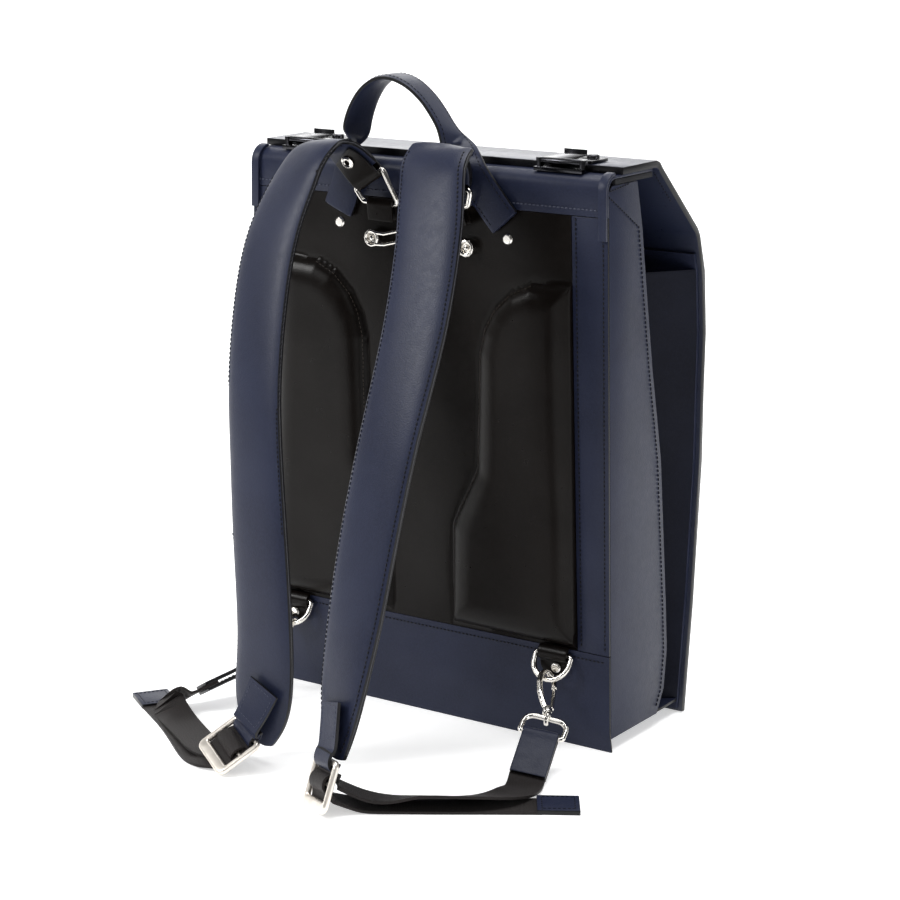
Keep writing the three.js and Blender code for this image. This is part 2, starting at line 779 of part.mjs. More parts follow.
function makeBackPad() {
  const low = lowerBandHeight + seam;
  const high = coverBottom - seam;
  const raised = padTable.map((row) => [row.across * footWidth / 2, row.up * bodyHeight]);
  const edge = (z) => stripInner(z) - padMargin;
  raised.push([edge(raised.at(-1)[1]), raised.at(-1)[1]], [edge(low), low + padMargin]);
  raised.push([raised[0][0], low + padMargin]);
  const front = [];
  for (let j = 0; j <= padRows; j++) {
    const z = THREE.MathUtils.lerp(low, high, j / padRows);
    for (let i = 0; i <= padColumns; i++) {
      const x = (2 * i / padColumns - 1) * (stripInner(z) - seam);
      const inside = depthInside(raised, [Math.abs(x), z]);
      front.push([x, skin - padRim - padRise * THREE.MathUtils.smoothstep(inside, 0, padEdgeRun), z]);
    }
  }
  const count = padColumns + 1;
  const rim = [];
  for (let i = 0; i < padColumns; i++) rim.push(i);
  for (let j = 0; j < padRows; j++) rim.push(j * count + padColumns);
  for (let i = padColumns; i > 0; i--) rim.push(padRows * count + i);
  for (let j = padRows; j > 0; j--) rim.push(j * count);
  const back = rim.map((i) => [front[i][0], skin, front[i][2]]);
  back.push([0, skin, (low + high) / 2]);
  const faces = [];
  for (let j = 0; j < padRows; j++) {
    for (let i = 0; i < padColumns; i++) {
      const a = j * count + i;
      faces.push(a, a + 1, a + count + 1, a, a + count + 1, a + count);
    }
  }
  rim.forEach((here, i) => {
    const next = (i + 1) % rim.length;
    faces.push(here, front.length + i, front.length + next, here, front.length + next, rim[next]);
    faces.push(front.length + next, front.length + i, front.length + rim.length);
  });
  const geometry = new THREE.BufferGeometry();
  geometry.setAttribute('position', new THREE.Float32BufferAttribute([...front, ...back].flat(), 3));
  geometry.setIndex(faces);
  return faceOutward(geometry);
}

function makeGusset(side) {
  const front = mainFrontTable.map((row) => [row.out * sideDepth, row.up * bodyHeight]).reverse();
  const chamfer = backBoard + seam;
  const outline = [
    [boardFace, bottomLift],
    [mainDepth(bottomLift), bottomLift],
    ...front.slice(1, -1),
    [mainDepth(gussetTop), gussetTop],
    [boardFace + chamfer, gussetTop],
    [boardFace, gussetTop - chamfer],
  ];
  return alongSide(shapeOf(outline), side, 0, gussetWall);
}

function makeBottomPanel() {
  const back = boardFace + backBoard + seam;
  const front = mainDepth(bottomLift) - frontWall - seam;
  const top = bottomLift + bottomWall;
  const outline = [[back, bottomLift], [front, bottomLift], [front, top], [back, top]];
  return acrossBody(shapeOf(outline), gussetWall + seam);
}

function makeMainFront() {
  const rows = mainFrontTable.map((row) => [row.out * sideDepth, row.up * bodyHeight]);
  const face = [[mainDepth(gussetTop), gussetTop], ...rows.slice(1, -1)];
  face.push([mainDepth(bottomLift), bottomLift]);
  const inner = [...face].reverse().map(([y, z]) => [y - frontWall, z]);
  return acrossBody(shapeOf([...face, ...inner]), gussetWall + seam);
}

function makeCornerPiping(side) {
  const low = bodyHeight - pipingDrop;
  const path = roundCorners([
    [-seam, low, 0],
    [-seam, bodyHeight + seam, coverRadius + seam],
    [coverRadius + seam, bodyHeight + seam, 0],
  ], 6, false);
  const outline = [...path, ...offsetPath(path, pipingThickness).reverse()];
  return alongSide(shapeOf(outline), side, 0, pipingWidth);
}

// Front pocket and flap
function makePocketFront() {
  const levels = bendLevels(pocketFoot, pocketHeight - pocketCurlHeight);
  const face = levels.map((z) => [flapInnerDepth(z) - seam, z]);
  face.push([face.at(-1)[0] - pocketCurl, pocketHeight]);
  const inner = [...face].reverse().map(([y, z]) => [y - pocketWall, z]);
  return acrossBody(shapeOf([...face, ...inner]), pocketInset);
}

function makePocketFloor() {
  const top = bottomLift + pocketLeather;
  const back = mainDepth(bottomLift) + seam;
  const front = flapInnerDepth(bottomLift) - 2 * seam - pocketWall;
  const outline = [[back, bottomLift], [front, bottomLift], [front, top], [mainDepth(top) + seam, top]];
  return acrossBody(shapeOf(outline), pocketInset);
}

// Heights between two limits at which the compartment's front or the flap bends.
function bendLevels(low, high) {
  const bends = [...mainFrontTable.map((row) => row.up * bodyHeight), ...flapInner.map((row) => row[1])];
  const inside = bends.filter((z) => z > low + 1 && z < high - 1).sort((a, b) => a - b);
  return [low, ...inside, high];
}

// A folded side of the pocket: its fold points inward, deeper at the top than at the foot.
function makePocketGusset(side) {
  const low = bottomLift + pocketLeather + seam;
  const high = pocketHeight - pocketCurlHeight;
  const rings = bendLevels(low, high).map((z) => {
    const edge = halfWidth(z) - pocketInset;
    const back = mainDepth(z) + seam;
    const front = flapInnerDepth(z) - 2 * seam - pocketWall;
    const fold = pocketFoldDepth * THREE.MathUtils.mapLinear(z, low, high, 0.7, 1);
    const middle = (back + front) / 2;
    return [
      [side * edge, back, z],
      [side * (edge - fold), middle, z],
      [side * edge, front, z],
      [side * (edge - 1.6 * pocketLeather), front, z],
      [side * (edge - fold - 1.6 * pocketLeather), middle, z],
      [side * (edge - 1.6 * pocketLeather), back, z],
    ];
  });
  return loft(rings);
}

function makeFlap() {
  const rings = [-1, 1].map((side) => [...flapOuter, ...flapInner.slice().reverse()]
    .map(([y, z]) => [side * (halfWidth(Math.min(z, bodyHeight)) + flapOverhang), y, Math.max(z, 0)]));
  return loft(rings);
}

// Latches, each lying from the top cover onto the flap
const latchLow = bodyHeight + seam;
const pinUp = flapTop + haspPlate + 2 * seam + leverPlate - barrelRadius;
const pinOut = latchSetback + latchBaseDepth / 2;

function latchBox(x, y, z) {
  return block([0, 0, 0], [[1, 0, 0], [0, 1, 0], [0, 0, 1]], [x[0], y[0], z[0]], [x[1], y[1], z[1]]);
}

function makeLatchBase(middle) {
  const left = middle - latchWidth / 2;
  const right = middle + latchWidth / 2;
  const depth = [latchSetback, latchSetback + latchBaseDepth];
  const lug = [pinOut - barrelRadius, pinOut + barrelRadius];
  const height = [latchLow, pinUp + barrelRadius - seam];
  return joined([
    latchBox([left, right], depth, [latchLow, latchLow + latchPlate]),
    latchBox([left, left + latchLug], lug, height),
    latchBox([right - latchLug, right], lug, height),
    peg([left + 1, pinOut, pinUp], [right - 1, pinOut, pinUp], pinRadius, 10),
  ]);
}

function makeLatchHasp(middle) {
  const start = flapOuter[0][0] + seam;
  const low = flapTop + seam;
  const knob = [middle + latchWidth / 2 - knobRadius - 2, start + haspDepth * 0.6, low + haspPlate / 2];
  const profile = [
    [0, 0],
    [knobRadius, 0],
    [knobRadius, haspPlate / 2 + knobHeight * 0.7],
    [knobRadius * 0.8, haspPlate / 2 + knobHeight],
    [0, haspPlate / 2 + knobHeight],
  ];
  return joined([
    latchBox([middle - latchWidth / 2, middle + latchWidth / 2], [start, start + haspDepth],
      [low, low + haspPlate]),
    turned(profile, knob, [0, 0, 1], 14),
  ]);
}

function makeLatchLever(middle) {
  const left = middle - latchWidth / 2 + latchLug + pinClearance;
  const right = middle + latchWidth / 2 - latchLug - pinClearance;
  const top = pinUp + barrelRadius;
  const plate = [left, left + leverWidth];
  const tip = pinOut + leverLength;
  return joined([
    peg([left, pinOut, pinUp], [right, pinOut, pinUp], barrelRadius, 16),
    latchBox(plate, [pinOut, tip], [top - leverPlate, top]),
    latchBox(plate, [tip - leverPlate, tip], [top - leverPlate, top + leverTab]),
  ], [
    peg([left - 1, pinOut, pinUp], [right + 1, pinOut, pinUp], pinRadius + pinClearance, 16),
  ]);
}

// Handle and its rivets
function makeHandle() {
  const rows = handleTable.map((row) => ({
    at: [row.across * handleSpan / 2, row.out * handleWidth, bodyHeight + row.up * handleRise],
    wide: row.wide,
  }));
  const half = handleWidth / 2;
  const thick = handleThickness / 2;
  const section = [
    [-half, -thick * 0.5],
    [-half * 0.7, -thick],
    [half * 0.7, -thick],
    [half, -thick * 0.5],
    [half, thick * 0.5],
    [half * 0.7, thick],
    [-half * 0.7, thick],
    [-half, thick * 0.5],
  ];
  return band(routeFrames(rows, (rows.length - 1) * 2), section);
}

const rivetProfile = [
  [0, 0],
  [rivetRadius, 0],
  [rivetRadius, rivetHeight * 0.4],
  [rivetRadius * 0.75, rivetHeight],
  [0, rivetHeight],
];

function makeHandleRivet(side) {
  const face = skin - padRim - seam;
  return turned(rivetProfile, [side * rivetSpan / 2, face, bodyHeight - rivetDrop], [0, -1, 0], 12);
}

// Foot of a hanger's eye: a cup that stands on the back pad, with the rivet's head in its middle
function hangerFoot(side) {
  const face = skin - padRim - seam;
  const height = hangerOut + face;
  const profile = [
    [0, 0],
    [hangerEye, 0],
    [hangerEye, height],
    [hangerEye - hangerWire, height],
    [hangerEye - hangerWire, height - hangerFloor],
    [hangerPost, height - hangerFloor],
    [hangerPost, height],
    [0, height + hangerWire / 2],
  ];
  return turned(profile, [side * hangerSpan / 2, face, bodyHeight - hangerDrop], [0, -1, 0], 12);
}

// Strap hanger: two end eyes and the pair of rails between them
function makeHanger() {
  const at = [0, -hangerOut, bodyHeight - hangerDrop];
  const across = [[1, 0, 0], [0, 0, 1]];
  const eye = Array.from({ length: 12 }, (_, i) => {
    const angle = 2 * Math.PI * i / 12;
    return [hangerEye * Math.cos(angle), hangerEye * Math.sin(angle)];
  });
  const eyes = [-1, 1].map((side) => wire(eye.map(([x, z]) => [x + side * hangerSpan / 2, z]),
    hangerWire, 6, at, ...across));
  const rails = [-1, 1].map((side) => {
    const start = hangerSpan / 2 - hangerEye * 0.7;
    const path = [
      [-start, side * hangerEye * 0.8],
      [-start * 0.8, side * hangerRail],
      [-start * 0.5, side * hangerRail + hangerRise],
      [start * 0.5, side * hangerRail + hangerRise],
      [start * 0.8, side * hangerRail],
      [start, side * hangerEye * 0.8],
    ];
    return wire(path, hangerWire, 6, at, ...across, false);
  });
  return joined([...eyes, ...rails, hangerFoot(-1), hangerFoot(1)]);
}

// Top ring of a strap, its leather loop below and the strap's folded end above
function strapRingPlace(side) {
  const turn = side < 0 ? 0 : THREE.MathUtils.degToRad(strapRingTurn);
  const corners = strapRingTable.map((row) => [
    strapRingWidth * (row.across * Math.cos(turn) - row.up * Math.sin(turn)),
    strapRingWidth * (row.across * Math.sin(turn) + row.up * Math.cos(turn)),
  ]);
  const origin = [side * strapRingOffset, -strapRingOut, bodyHeight - strapRingDrop];
  const first = [-side, 0, 0];
  const second = unit([0, -0.166, 0.986]);
  const at = ([x, y]) => add(add(origin, first, x), second, y);
  return { corners, origin, first, second, at };
}

function makeStrapRing(side) {
  const { corners, origin, first, second } = strapRingPlace(side);
  const outline = roundCorners(corners.map(([x, y]) => [x, y, 1.5 * ringWire]), 3);
  return wire(outline, ringWire, 6, origin, first, second);
}

function makeRingLoop(side) {
  const { corners, at, second } = strapRingPlace(side);
  const ends = [at(corners[1]), at(corners[2])];
  const bar = add(ends[0], ends[1]).map((value) => value / 2);
  const wide = unit(add(ends[0], ends[1], -1));
  const course = squareTo(second.map((value) => -value), wide);
  const out = cross(course, wide);
  const offset = ringWire + seam + ringLeather / 2;
  const frames = [0.136, 0.455, 0.727, 1].map((share) => (
    { at: add(bar, course, share * ringLoopDrop), course, wide, out }));
  const size = { barOffset: offset, layerOffset: offset, width: ringLoopWidth, thickness: ringLeather };
  return foldedStrip(bar, frames, size);
}

// A place near the straps from its shares of half the foot width, of strapReach and of bodyHeight
function strapPlace({ across, out, up }) {
  return [across * footWidth / 2, -out * strapReach, up * bodyHeight];
}

function strapRows(side) {
  const table = side < 0 ? leftStrapTable : rightStrapTable;
  const rows = table.map((row) => ({ at: strapPlace(row), wide: row.wide }));
  const { corners, at } = strapRingPlace(side);
  const ends = [at(corners[0]), at(corners[3])];
  const bar = add(ends[0], ends[1]).map((value) => value / 2);
  const wide = unit(add(ends[0], ends[1], -1)).map((value) => -side * value);
  const course = squareTo(add(rows[1].at, bar, -1), wide);
  rows[0] = { at: add(bar, course, strapStart), wide };
  return { rows, bar };
}

// Frames from the ring's bar to the strap's foot; the strap itself starts clear of the bar.
function strapFrames(side) {
  const { rows, bar } = strapRows(side);
  const whole = [{ at: bar, wide: rows[0].wide }, ...rows];
  const fine = routeFrames(whole, (whole.length - 1) * 6);
  return fine.filter((_, i) => (i <= 18 ? i % 2 === 0 : i % 3 === 0));
}

// Share of the strap's full width and of its padding at a share of its length.
function strapShare(share) {
  const foot = Math.max(0, share - 0.9) / 0.1;
  const top = THREE.MathUtils.smoothstep(share, 0.14, 0.3);
  const width = THREE.MathUtils.lerp(0.56, 1, top) * (1 - 0.45 * foot * foot);
  return { width, padding: THREE.MathUtils.lerp(0.12, 1, top) };
}

function makeShoulderStrap(side) {
  const frames = strapFrames(side).slice(3);
  const rings = frames.map((frame, i) => {
    const { width, padding } = strapShare(i / (frames.length - 1));
    const half = width * strapWidth / 2;
    const rim = strapEdge / 2;
    const outer = rim + (strapCrown - rim) * padding;
    const inner = rim + (strapCrown / 2 - rim) * padding;
    const section = [
      [-half, -rim * 0.8],
      [-half * 0.55, -inner * 0.9],
      [half * 0.55, -inner * 0.9],
      [half, -rim * 0.8],
      [half, rim * 0.8],
      [half * 0.8, outer * 0.75],
      [half * 0.35, outer],
      [-half * 0.35, outer],
      [-half * 0.8, outer * 0.75],
      [-half, rim * 0.8],
    ];
    return section.map(([across, out]) => add(add(frame.at, frame.wide, across), frame.out, out));
  });
  return loft(rings);
}

function makeStrapTab(side) {
  const { bar } = strapRows(side);
  const reach = strapFrames(side).slice(1, 7);
  const size = {
    barOffset: ringWire + seam + strapTabLeather / 2,
    layerOffset: strapEdge / 2 + tabEase + strapTabLeather / 2,
    width: strapTabWidth,
    thickness: strapTabLeather,
  };
  return foldedStrip(bar, reach, size);
}

// A pierced eyelet on the face of the strap's folded end that looks away from the back
function makeEyelet(side) {
  const frame = strapFrames(side)[eyeletFrame];
  const heading = frame.out.map((value) => value * Math.sign(-frame.out[1]));
  const lift = strapEdge / 2 + tabEase + strapTabLeather + 3 * seam;
  const profile = [
    [eyeletBore, 0],
    [eyeletRadius, 0],
    [eyeletRadius, eyeletThickness * 0.4],
    [(eyeletRadius + eyeletBore) / 2, eyeletThickness],
    [eyeletBore, eyeletThickness * 0.6],
    [eyeletBore, 0],
  ];
  return turned(profile, add(frame.at, heading, lift), heading, 12);
}

// Slide buckle at the strap's foot
function bucklePlace(side) {
  const { wide, down, ...buckle } = side < 0 ? buckles.left : buckles.right;
  const middle = strapPlace(buckle.middle);
  const first = unit(wide);
  const second = squareTo(down, first);
  const face = cross(second, first);
  const at = (x, y, out) => add(add(add(middle, first, x), second, y), face, out);
  return { middle, first, second, face, at };
}

function makeSlideBuckle(side) {
  const { first, second, face, middle, at } = bucklePlace(side);
  const half = buckleWidth / 2 - buckleWire;
  const high = buckleHeight / 2 - buckleWire;
  const corner = 1.7 * buckleWire;
  const outline = roundCorners([
    [-half, -high, corner],
    [half, -high, corner],
    [half, high, corner],
    [-half, high, corner],
  ], 4);
  const lip = block(middle, [first, second, face],
    [-buckleWidth / 2 + 1.5, high - buckleLip * 0.7, -buckleWire],
    [buckleWidth / 2 - 1.5, high + buckleLip * 0.6, buckleWire * 1.3]);
  return joined([
    wire(outline, buckleWire, 6, middle, first, second),
    peg(at(-half, buckleBarDown, 0), at(half, buckleBarDown, 0), buckleBar, 6),
    lip,
  ]);
}

function makeStrapEndPatch(side) {
  const { at, first } = bucklePlace(side);
  const bar = -(buckleHeight / 2 - buckleWire);
  const offset = buckleWire + 2 * seam + patchThickness / 2;
  const route = side < 0 ? patchRoutes.left : patchRoutes.right;
  const headings = side < 0 ? leftStrapTable : rightStrapTable;
  const lead = headings.at(-1).wide;
  const rows = route.map((place, i) => (
    { at: strapPlace(place), wide: add(lead.map((value) => value * (1 - i * 0.35)), first, i * 0.35) }));
  const turn = [
    [-patchWidth / 4, offset],
    [0, offset],
    [offset, 0],
    [0, -offset],
    [-patchWidth / 16, -offset],
  ];
  turn.forEach(([down, out]) => rows.push({ at: at(0, bar + down, out), wide: first }));
  return band(routeFrames(rows, (rows.length - 1) * 3), flatSection(patchWidth, patchThickness));
}

// A place of the webbing's middle, which lies half its thickness and a hair above the floor at least
function webPlace(row) {
  return add(strapPlace(row), [0, 0, 1], webLift);
}

// Where the webbing leaves its leather tip
function webbingStart({ middle, course }) {
  const along = unit([...course, 0]);
  const at = add(webPlace(middle), along, -(tipLength / 2 + 2 * seam));
  return { at, wide: [along[1], -along[0], 0] };
}

// Webbing: a strand along the floor, the turn over the buckle's bar and a strand to the tab
function makeWebbing(side) {
  const route = side < 0 ? webbingRoutes.left : webbingRoutes.right;
  const { at, first } = bucklePlace(side);
  const tab = tabPlace(side);
  const inTab = [1, tabOverlap].map((inside) => (
    { at: add(tab.foot, tab.course, tabReach - inside), wide: tab.wide }));
  const turn = route.turn.map(({ down, out }) => (
    { at: at(0, down * buckleHeight, out * buckleHeight), wide: first }));
  const section = flatSection(webWidth, webThickness);
  const [tail, lead] = [route.tail, route.lead].map((rows) => (
    rows.map((row) => ({ at: webPlace(row), wide: row.wide }))));
  const strands = [[webbingStart(route.tip), ...tail], turn, [...lead, ...inTab]];
  return joined(strands.map((rows) => band(routeFrames(rows, (rows.length - 1) * 2), section)));
}

function makeWebbingTip(side) {
  const { tip } = side < 0 ? webbingRoutes.left : webbingRoutes.right;
  const course = unit([...tip.course, 0]);
  const across = [-course[1], course[0], 0];
  return block(strapPlace(tip.middle), [course, across, [0, 0, 1]],
    [-tipLength / 2, -tipWidth / 2, 0], [tipLength / 2, tipWidth / 2, tipThickness]);
}

function loopPlace(side) {
  const { wide, ...loop } = side < 0 ? loops.left : loops.right;
  const top = strapPlace(loop.top);
  const foot = strapPlace(loop.foot);
  const down = unit(add(foot, top, -1));
  return { top, foot, down, wide: squareTo(wide, down), drop: Math.hypot(...add(foot, top, -1)) };
}

// The leather tab's course from the loop's lower bar to the last place of the webbing's lead.
function tabPlace(side) {
  const { foot, wide } = loopPlace(side);
  const last = (side < 0 ? webbingRoutes.left : webbingRoutes.right).lead.at(-1);
  const course = unit(add(webPlace(last), foot, -1));
  return { foot, course, wide: squareTo(wide, course) };
}

function makeWebbingTab(side) {
  const { foot, course, wide } = tabPlace(side);
  const frames = [0.15, 0.4, 0.7, 1].map((share) => (
    { at: add(foot, course, share * tabReach), course, wide, out: cross(course, wide) }));
  return foldedStrip(foot, frames, {
    barOffset: loopWire + 1.5 * seam + tabThickness / 2,
    layerOffset: webThickness / 2 + 1.5 * seam + tabThickness / 2,
    width: tabWidth,
    thickness: tabThickness,
  });
}

// The loop under the hook, a flattened oval
function makeHookLoop(side) {
  const { top, down, wide, drop } = loopPlace(side);
  const shoulder = drop * 0.45;
  const foot = 1.6 * loopWire;
  const outline = roundCorners([
    [-loopHalf, 0, shoulder],
    [loopHalf, 0, shoulder],
    [loopHalf, drop, foot],
    [-loopHalf, drop, foot],
  ], 4);
  return wire(outline, loopWire, 6, top, wide, down);
}

// Foot rings on the lower band
function makeDRing(side) {
  const tilt = THREE.MathUtils.degToRad(dRingTilt);
  const origin = [side * dRingOffset, -dRingOut, dRingHeight];
  const down = [0, -Math.sin(tilt), -Math.cos(tilt)];
  const bend = dRingDrop * 0.3;
  const outline = [[-dRingHalf + dRingWire, 0], [dRingHalf - dRingWire, 0], [dRingHalf, dRingWire]];
  for (let i = 0; i <= 12; i++) {
    const angle = Math.PI * i / 12;
    outline.push([dRingHalf * Math.cos(angle), bend + (dRingDrop - bend) * Math.sin(angle)]);
  }
  outline.push([-dRingHalf, dRingWire]);
  return wire(outline, dRingWire, 6, origin, [1, 0, 0], down);
}

function makeDRingTab(side) {
  const x = side * dRingOffset;
  const near = -(seam + dRingLeather / 2);
  const far = -(dRingOut + dRingWire + seam + dRingLeather / 2);
  const rows = [
    [near, -0.317],
    [far * 0.75, -0.207],
    [far, 0],
    [far * 0.75, 0.207],
    [near, 0.345],
    [near, 0.621],
    [near, 1],
  ].map(([y, drop]) => ({ at: [x, y, dRingHeight - drop * dRingTabDrop], wide: [1, 0, 0] }));
  const narrow = (share) => 1 - 0.5 * Math.max(0, (share - 0.8) / 0.2) ** 2;
  return band(routeFrames(rows, (rows.length - 1) * 3), flatSection(dRingTabWidth, dRingLeather), narrow);
}

function makeDRingRivet(side) {
  const x = side * (dRingOffset + dRingRivetShift);
  const face = -(2 * seam + dRingLeather);
  return turned(rivetProfile, [x, face, dRingHeight - dRingRivetDrop], [0, -1, 0], 12);
}

// Snap hook between the foot ring and the loop, in the plane of its own length and the view across
function hookPlace(side) {
  const { top } = loopPlace(side);
  const tilt = THREE.MathUtils.degToRad(dRingTilt);
  const ring = [
    side * dRingOffset,
    -dRingOut - dRingDrop * Math.sin(tilt),
    dRingHeight - dRingDrop * Math.cos(tilt),
  ];
  const upward = unit(add(ring, top, -1));
  const across = squareTo([0, 1, 0], upward);
  const reach = Math.hypot(...add(ring, top, -1));
  return { top, upward, across, reach, axis: cross(across, upward) };
}

function makeSnapHook(side) {
  const { top, upward, across, reach, axis } = hookPlace(side);
  const crest = reach + dRingWire + hookRoom + hookWire;
  const outline = [
    [-0.143 * hookCollar, 2.143 * hookCollar],
    [-0.62 * hookHalf, 0.33 * crest],
    [-0.95 * hookHalf, 0.5 * crest],
    [-hookHalf, 0.7 * crest],
    [-0.75 * hookHalf, 0.88 * crest],
    [-0.3 * hookHalf, 0.98 * crest],
    [0.2 * hookHalf, crest],
    [0.68 * hookHalf, 0.94 * crest],
    [0.95 * hookHalf, 0.83 * crest],
    [hookHalf, 0.7 * crest],
  ];
  const collar = [
    [0, loopWire + hookWire],
    [hookCollar * 0.7, loopWire + hookWire],
    [hookCollar, loopWire + 2 * hookWire],
    [hookCollar, hookCollar * 2.571],
    [hookCollar * 0.7, hookCollar * 3.143],
    [0, hookCollar * 3.143],
  ];
  const eyeHeading = loopPlace(side).wide;
  const eyeUp = squareTo(upward, eyeHeading);
  const eyeOut = cross(eyeHeading, eyeUp);
  const eyeRadius = loopWire + 2 * seam + gateRadius;
  const eye = Array.from({ length: 12 }, (_, i) => {
    const angle = 2 * Math.PI * i / 12;
    return [eyeRadius * Math.cos(angle), eyeRadius * Math.sin(angle)];
  });
  return joined([
    wire(outline, hookWire, 6, top, across, upward, false),
    turned(collar, top, upward, 12),
    wire(eye, gateRadius, 6, top, eyeUp, eyeOut),
  ]);
}

// The gate runs from the collar to just short of the hook's nose
function gateEnds(side) {
  const { top, upward, across, reach } = hookPlace(side);
  const crest = reach + dRingWire + hookRoom + hookWire;
  const foot = add(add(top, across, gateFootAcross), upward, gateFootUp);
  const tip = add(add(top, across, hookHalf), upward, 0.7 * crest - gateGap);
  return { foot, tip };
}

function makeHookGate(side) {
  const { foot, tip } = gateEnds(side);
  return peg(foot, tip, gateRadius, 8);
}

// Finishes
const finishes = {
  navyLeather: { color: 0x262c40, roughness: 0.55, metalness: 0 },
  blackLeather: { color: 0x1b1817, roughness: 0.5, metalness: 0 },
  blackWebbing: { color: 0x1c1816, roughness: 0.85, metalness: 0 },
  board: { color: 0x2a2a2c, roughness: 0.9, metalness: 0 },
  nickel: { color: 0xd8d5cf, roughness: 0.22, metalness: 1 },
  gunmetal: { color: 0x35353a, roughness: 0.35, metalness: 0.9 },
};
const materials = Object.fromEntries(Object.entries(finishes).map(([name, values]) => {
  const material = new THREE.MeshStandardMaterial(values);
  material.name = name;
  return [name, material];
}));

const backpack = new THREE.Group();
backpack.name = 'backpack';

function place(name, geometry, finish) {
  const mesh = new THREE.Mesh(geometry, materials[finish]);
  mesh.name = name;
  backpack.add(mesh);
}

function placeBoth(name, make, finish) {
  place(`${name}_left`, make(-1), finish);
  place(`${name}_right`, make(1), finish);
}

place('back_wall', makeBackWall(), 'board');
place('top_cover', makeTopCover(), 'navyLeather');
place('top_board', makeTopBoard(), 'board');
place('side_strip_right', makeSideStrip(), 'navyLeather');
place('side_strip_left', mirrored(makeSideStrip()), 'navyLeather');
place('lower_band', makeLowerBand(), 'navyLeather');
place('back_pad', makeBackPad(), 'blackLeather');
place('bottom_panel', makeBottomPanel(), 'navyLeather');
place('main_front', makeMainFront(), 'navyLeather');
place('pocket_front', makePocketFront(), 'navyLeather');
place('pocket_floor', makePocketFloor(), 'navyLeather');
place('flap', makeFlap(), 'navyLeather');
place('handle', makeHandle(), 'navyLeather');
place('hanger', makeHanger(), 'nickel');
placeBoth('gusset', makeGusset, 'navyLeather');
placeBoth('pocket_gusset', makePocketGusset, 'navyLeather');
placeBoth('corner_piping', makeCornerPiping, 'navyLeather');
placeBoth('latch_base', (side) => makeLatchBase(side * latchOffset), 'gunmetal');
placeBoth('latch_hasp', (side) => makeLatchHasp(side * latchOffset), 'gunmetal');
placeBoth('latch_lever', (side) => makeLatchLever(side * latchOffset), 'gunmetal');
placeBoth('handle_rivet', makeHandleRivet, 'nickel');
placeBoth('ring_loop', makeRingLoop, 'blackLeather');
placeBoth('strap_ring', makeStrapRing, 'nickel');
placeBoth('strap_tab', makeStrapTab, 'blackLeather');
placeBoth('eyelet', makeEyelet, 'nickel');
placeBoth('shoulder_strap', makeShoulderStrap, 'navyLeather');
placeBoth('strap_end_patch', makeStrapEndPatch, 'navyLeather');
placeBoth('slide_buckle', makeSlideBuckle, 'nickel');
placeBoth('webbing', makeWebbing, 'blackWebbing');
placeBoth('webbing_tip', makeWebbingTip, 'navyLeather');
placeBoth('webbing_tab', makeWebbingTab, 'navyLeather');
placeBoth('d_ring_tab', makeDRingTab, 'blackLeather');
placeBoth('d_ring', makeDRing, 'nickel');
placeBoth('d_ring_rivet', makeDRingRivet, 'nickel');
placeBoth('snap_hook', makeSnapHook, 'nickel');
placeBoth('hook_gate', makeHookGate, 'nickel');
placeBoth('hook_loop', makeHookLoop, 'nickel');

export default backpack;
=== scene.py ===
"""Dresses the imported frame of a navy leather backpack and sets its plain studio."""

import json
import logging
from collections.abc import Callable, Iterator, Sequence
from contextlib import contextmanager
from dataclasses import dataclass, field
from enum import Enum
from math import atan2, cos, pi, radians, sin

import bmesh
import bpy
from mathutils import Matrix, Vector, noise
from mathutils.bvhtree import BVHTree

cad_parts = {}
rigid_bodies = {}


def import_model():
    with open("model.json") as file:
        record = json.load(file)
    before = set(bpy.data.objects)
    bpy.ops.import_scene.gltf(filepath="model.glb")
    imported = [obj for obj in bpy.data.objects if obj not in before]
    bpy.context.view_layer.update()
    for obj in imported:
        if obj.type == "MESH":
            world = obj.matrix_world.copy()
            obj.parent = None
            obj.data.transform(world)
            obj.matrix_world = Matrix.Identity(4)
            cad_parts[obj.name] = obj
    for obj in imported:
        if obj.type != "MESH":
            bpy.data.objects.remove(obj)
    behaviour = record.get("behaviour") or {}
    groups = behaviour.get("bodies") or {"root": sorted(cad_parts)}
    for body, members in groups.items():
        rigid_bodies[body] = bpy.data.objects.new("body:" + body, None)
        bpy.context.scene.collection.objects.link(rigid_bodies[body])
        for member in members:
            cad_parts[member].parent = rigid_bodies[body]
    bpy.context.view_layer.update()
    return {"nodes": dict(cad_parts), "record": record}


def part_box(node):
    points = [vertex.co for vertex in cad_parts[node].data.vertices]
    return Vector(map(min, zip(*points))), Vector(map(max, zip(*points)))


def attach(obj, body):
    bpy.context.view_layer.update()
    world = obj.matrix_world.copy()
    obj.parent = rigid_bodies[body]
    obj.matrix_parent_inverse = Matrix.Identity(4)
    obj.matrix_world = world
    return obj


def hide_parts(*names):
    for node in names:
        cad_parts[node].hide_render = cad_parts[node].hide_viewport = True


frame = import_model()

LOG = logging.getLogger("backpack")
MM = 0.001
SIDES = {"left": -1.0, "right": 1.0}


class Slot(Enum):
    """The record's material slots."""

    NAVY = "navy_leather"
    BLACK = "black_leather"
    WEBBING = "black_webbing"
    BOARD = "board"
    NICKEL = "nickel"
    GUNMETAL = "gunmetal"


class Form(Enum):
    """How a copy of a CAD solid is worked up into its finished shape."""

    PLATE = "cut edges broken by a small bevel"
    SOFT = "edges broken and the whole surface rounded"
    CAST = "melted into one smooth casting"


def deselect() -> None:
    """Leaves object mode on with nothing selected."""
    if bpy.context.mode != "OBJECT":
        bpy.ops.object.mode_set(mode="OBJECT")
    bpy.ops.object.select_all(action="DESELECT")


def activate(piece: bpy.types.Object) -> None:
    """Makes a piece the only selected and the active object.

    Args:
        piece: The object that the next operators work on.
    """
    deselect()
    piece.select_set(True)
    bpy.context.view_layer.objects.active = piece


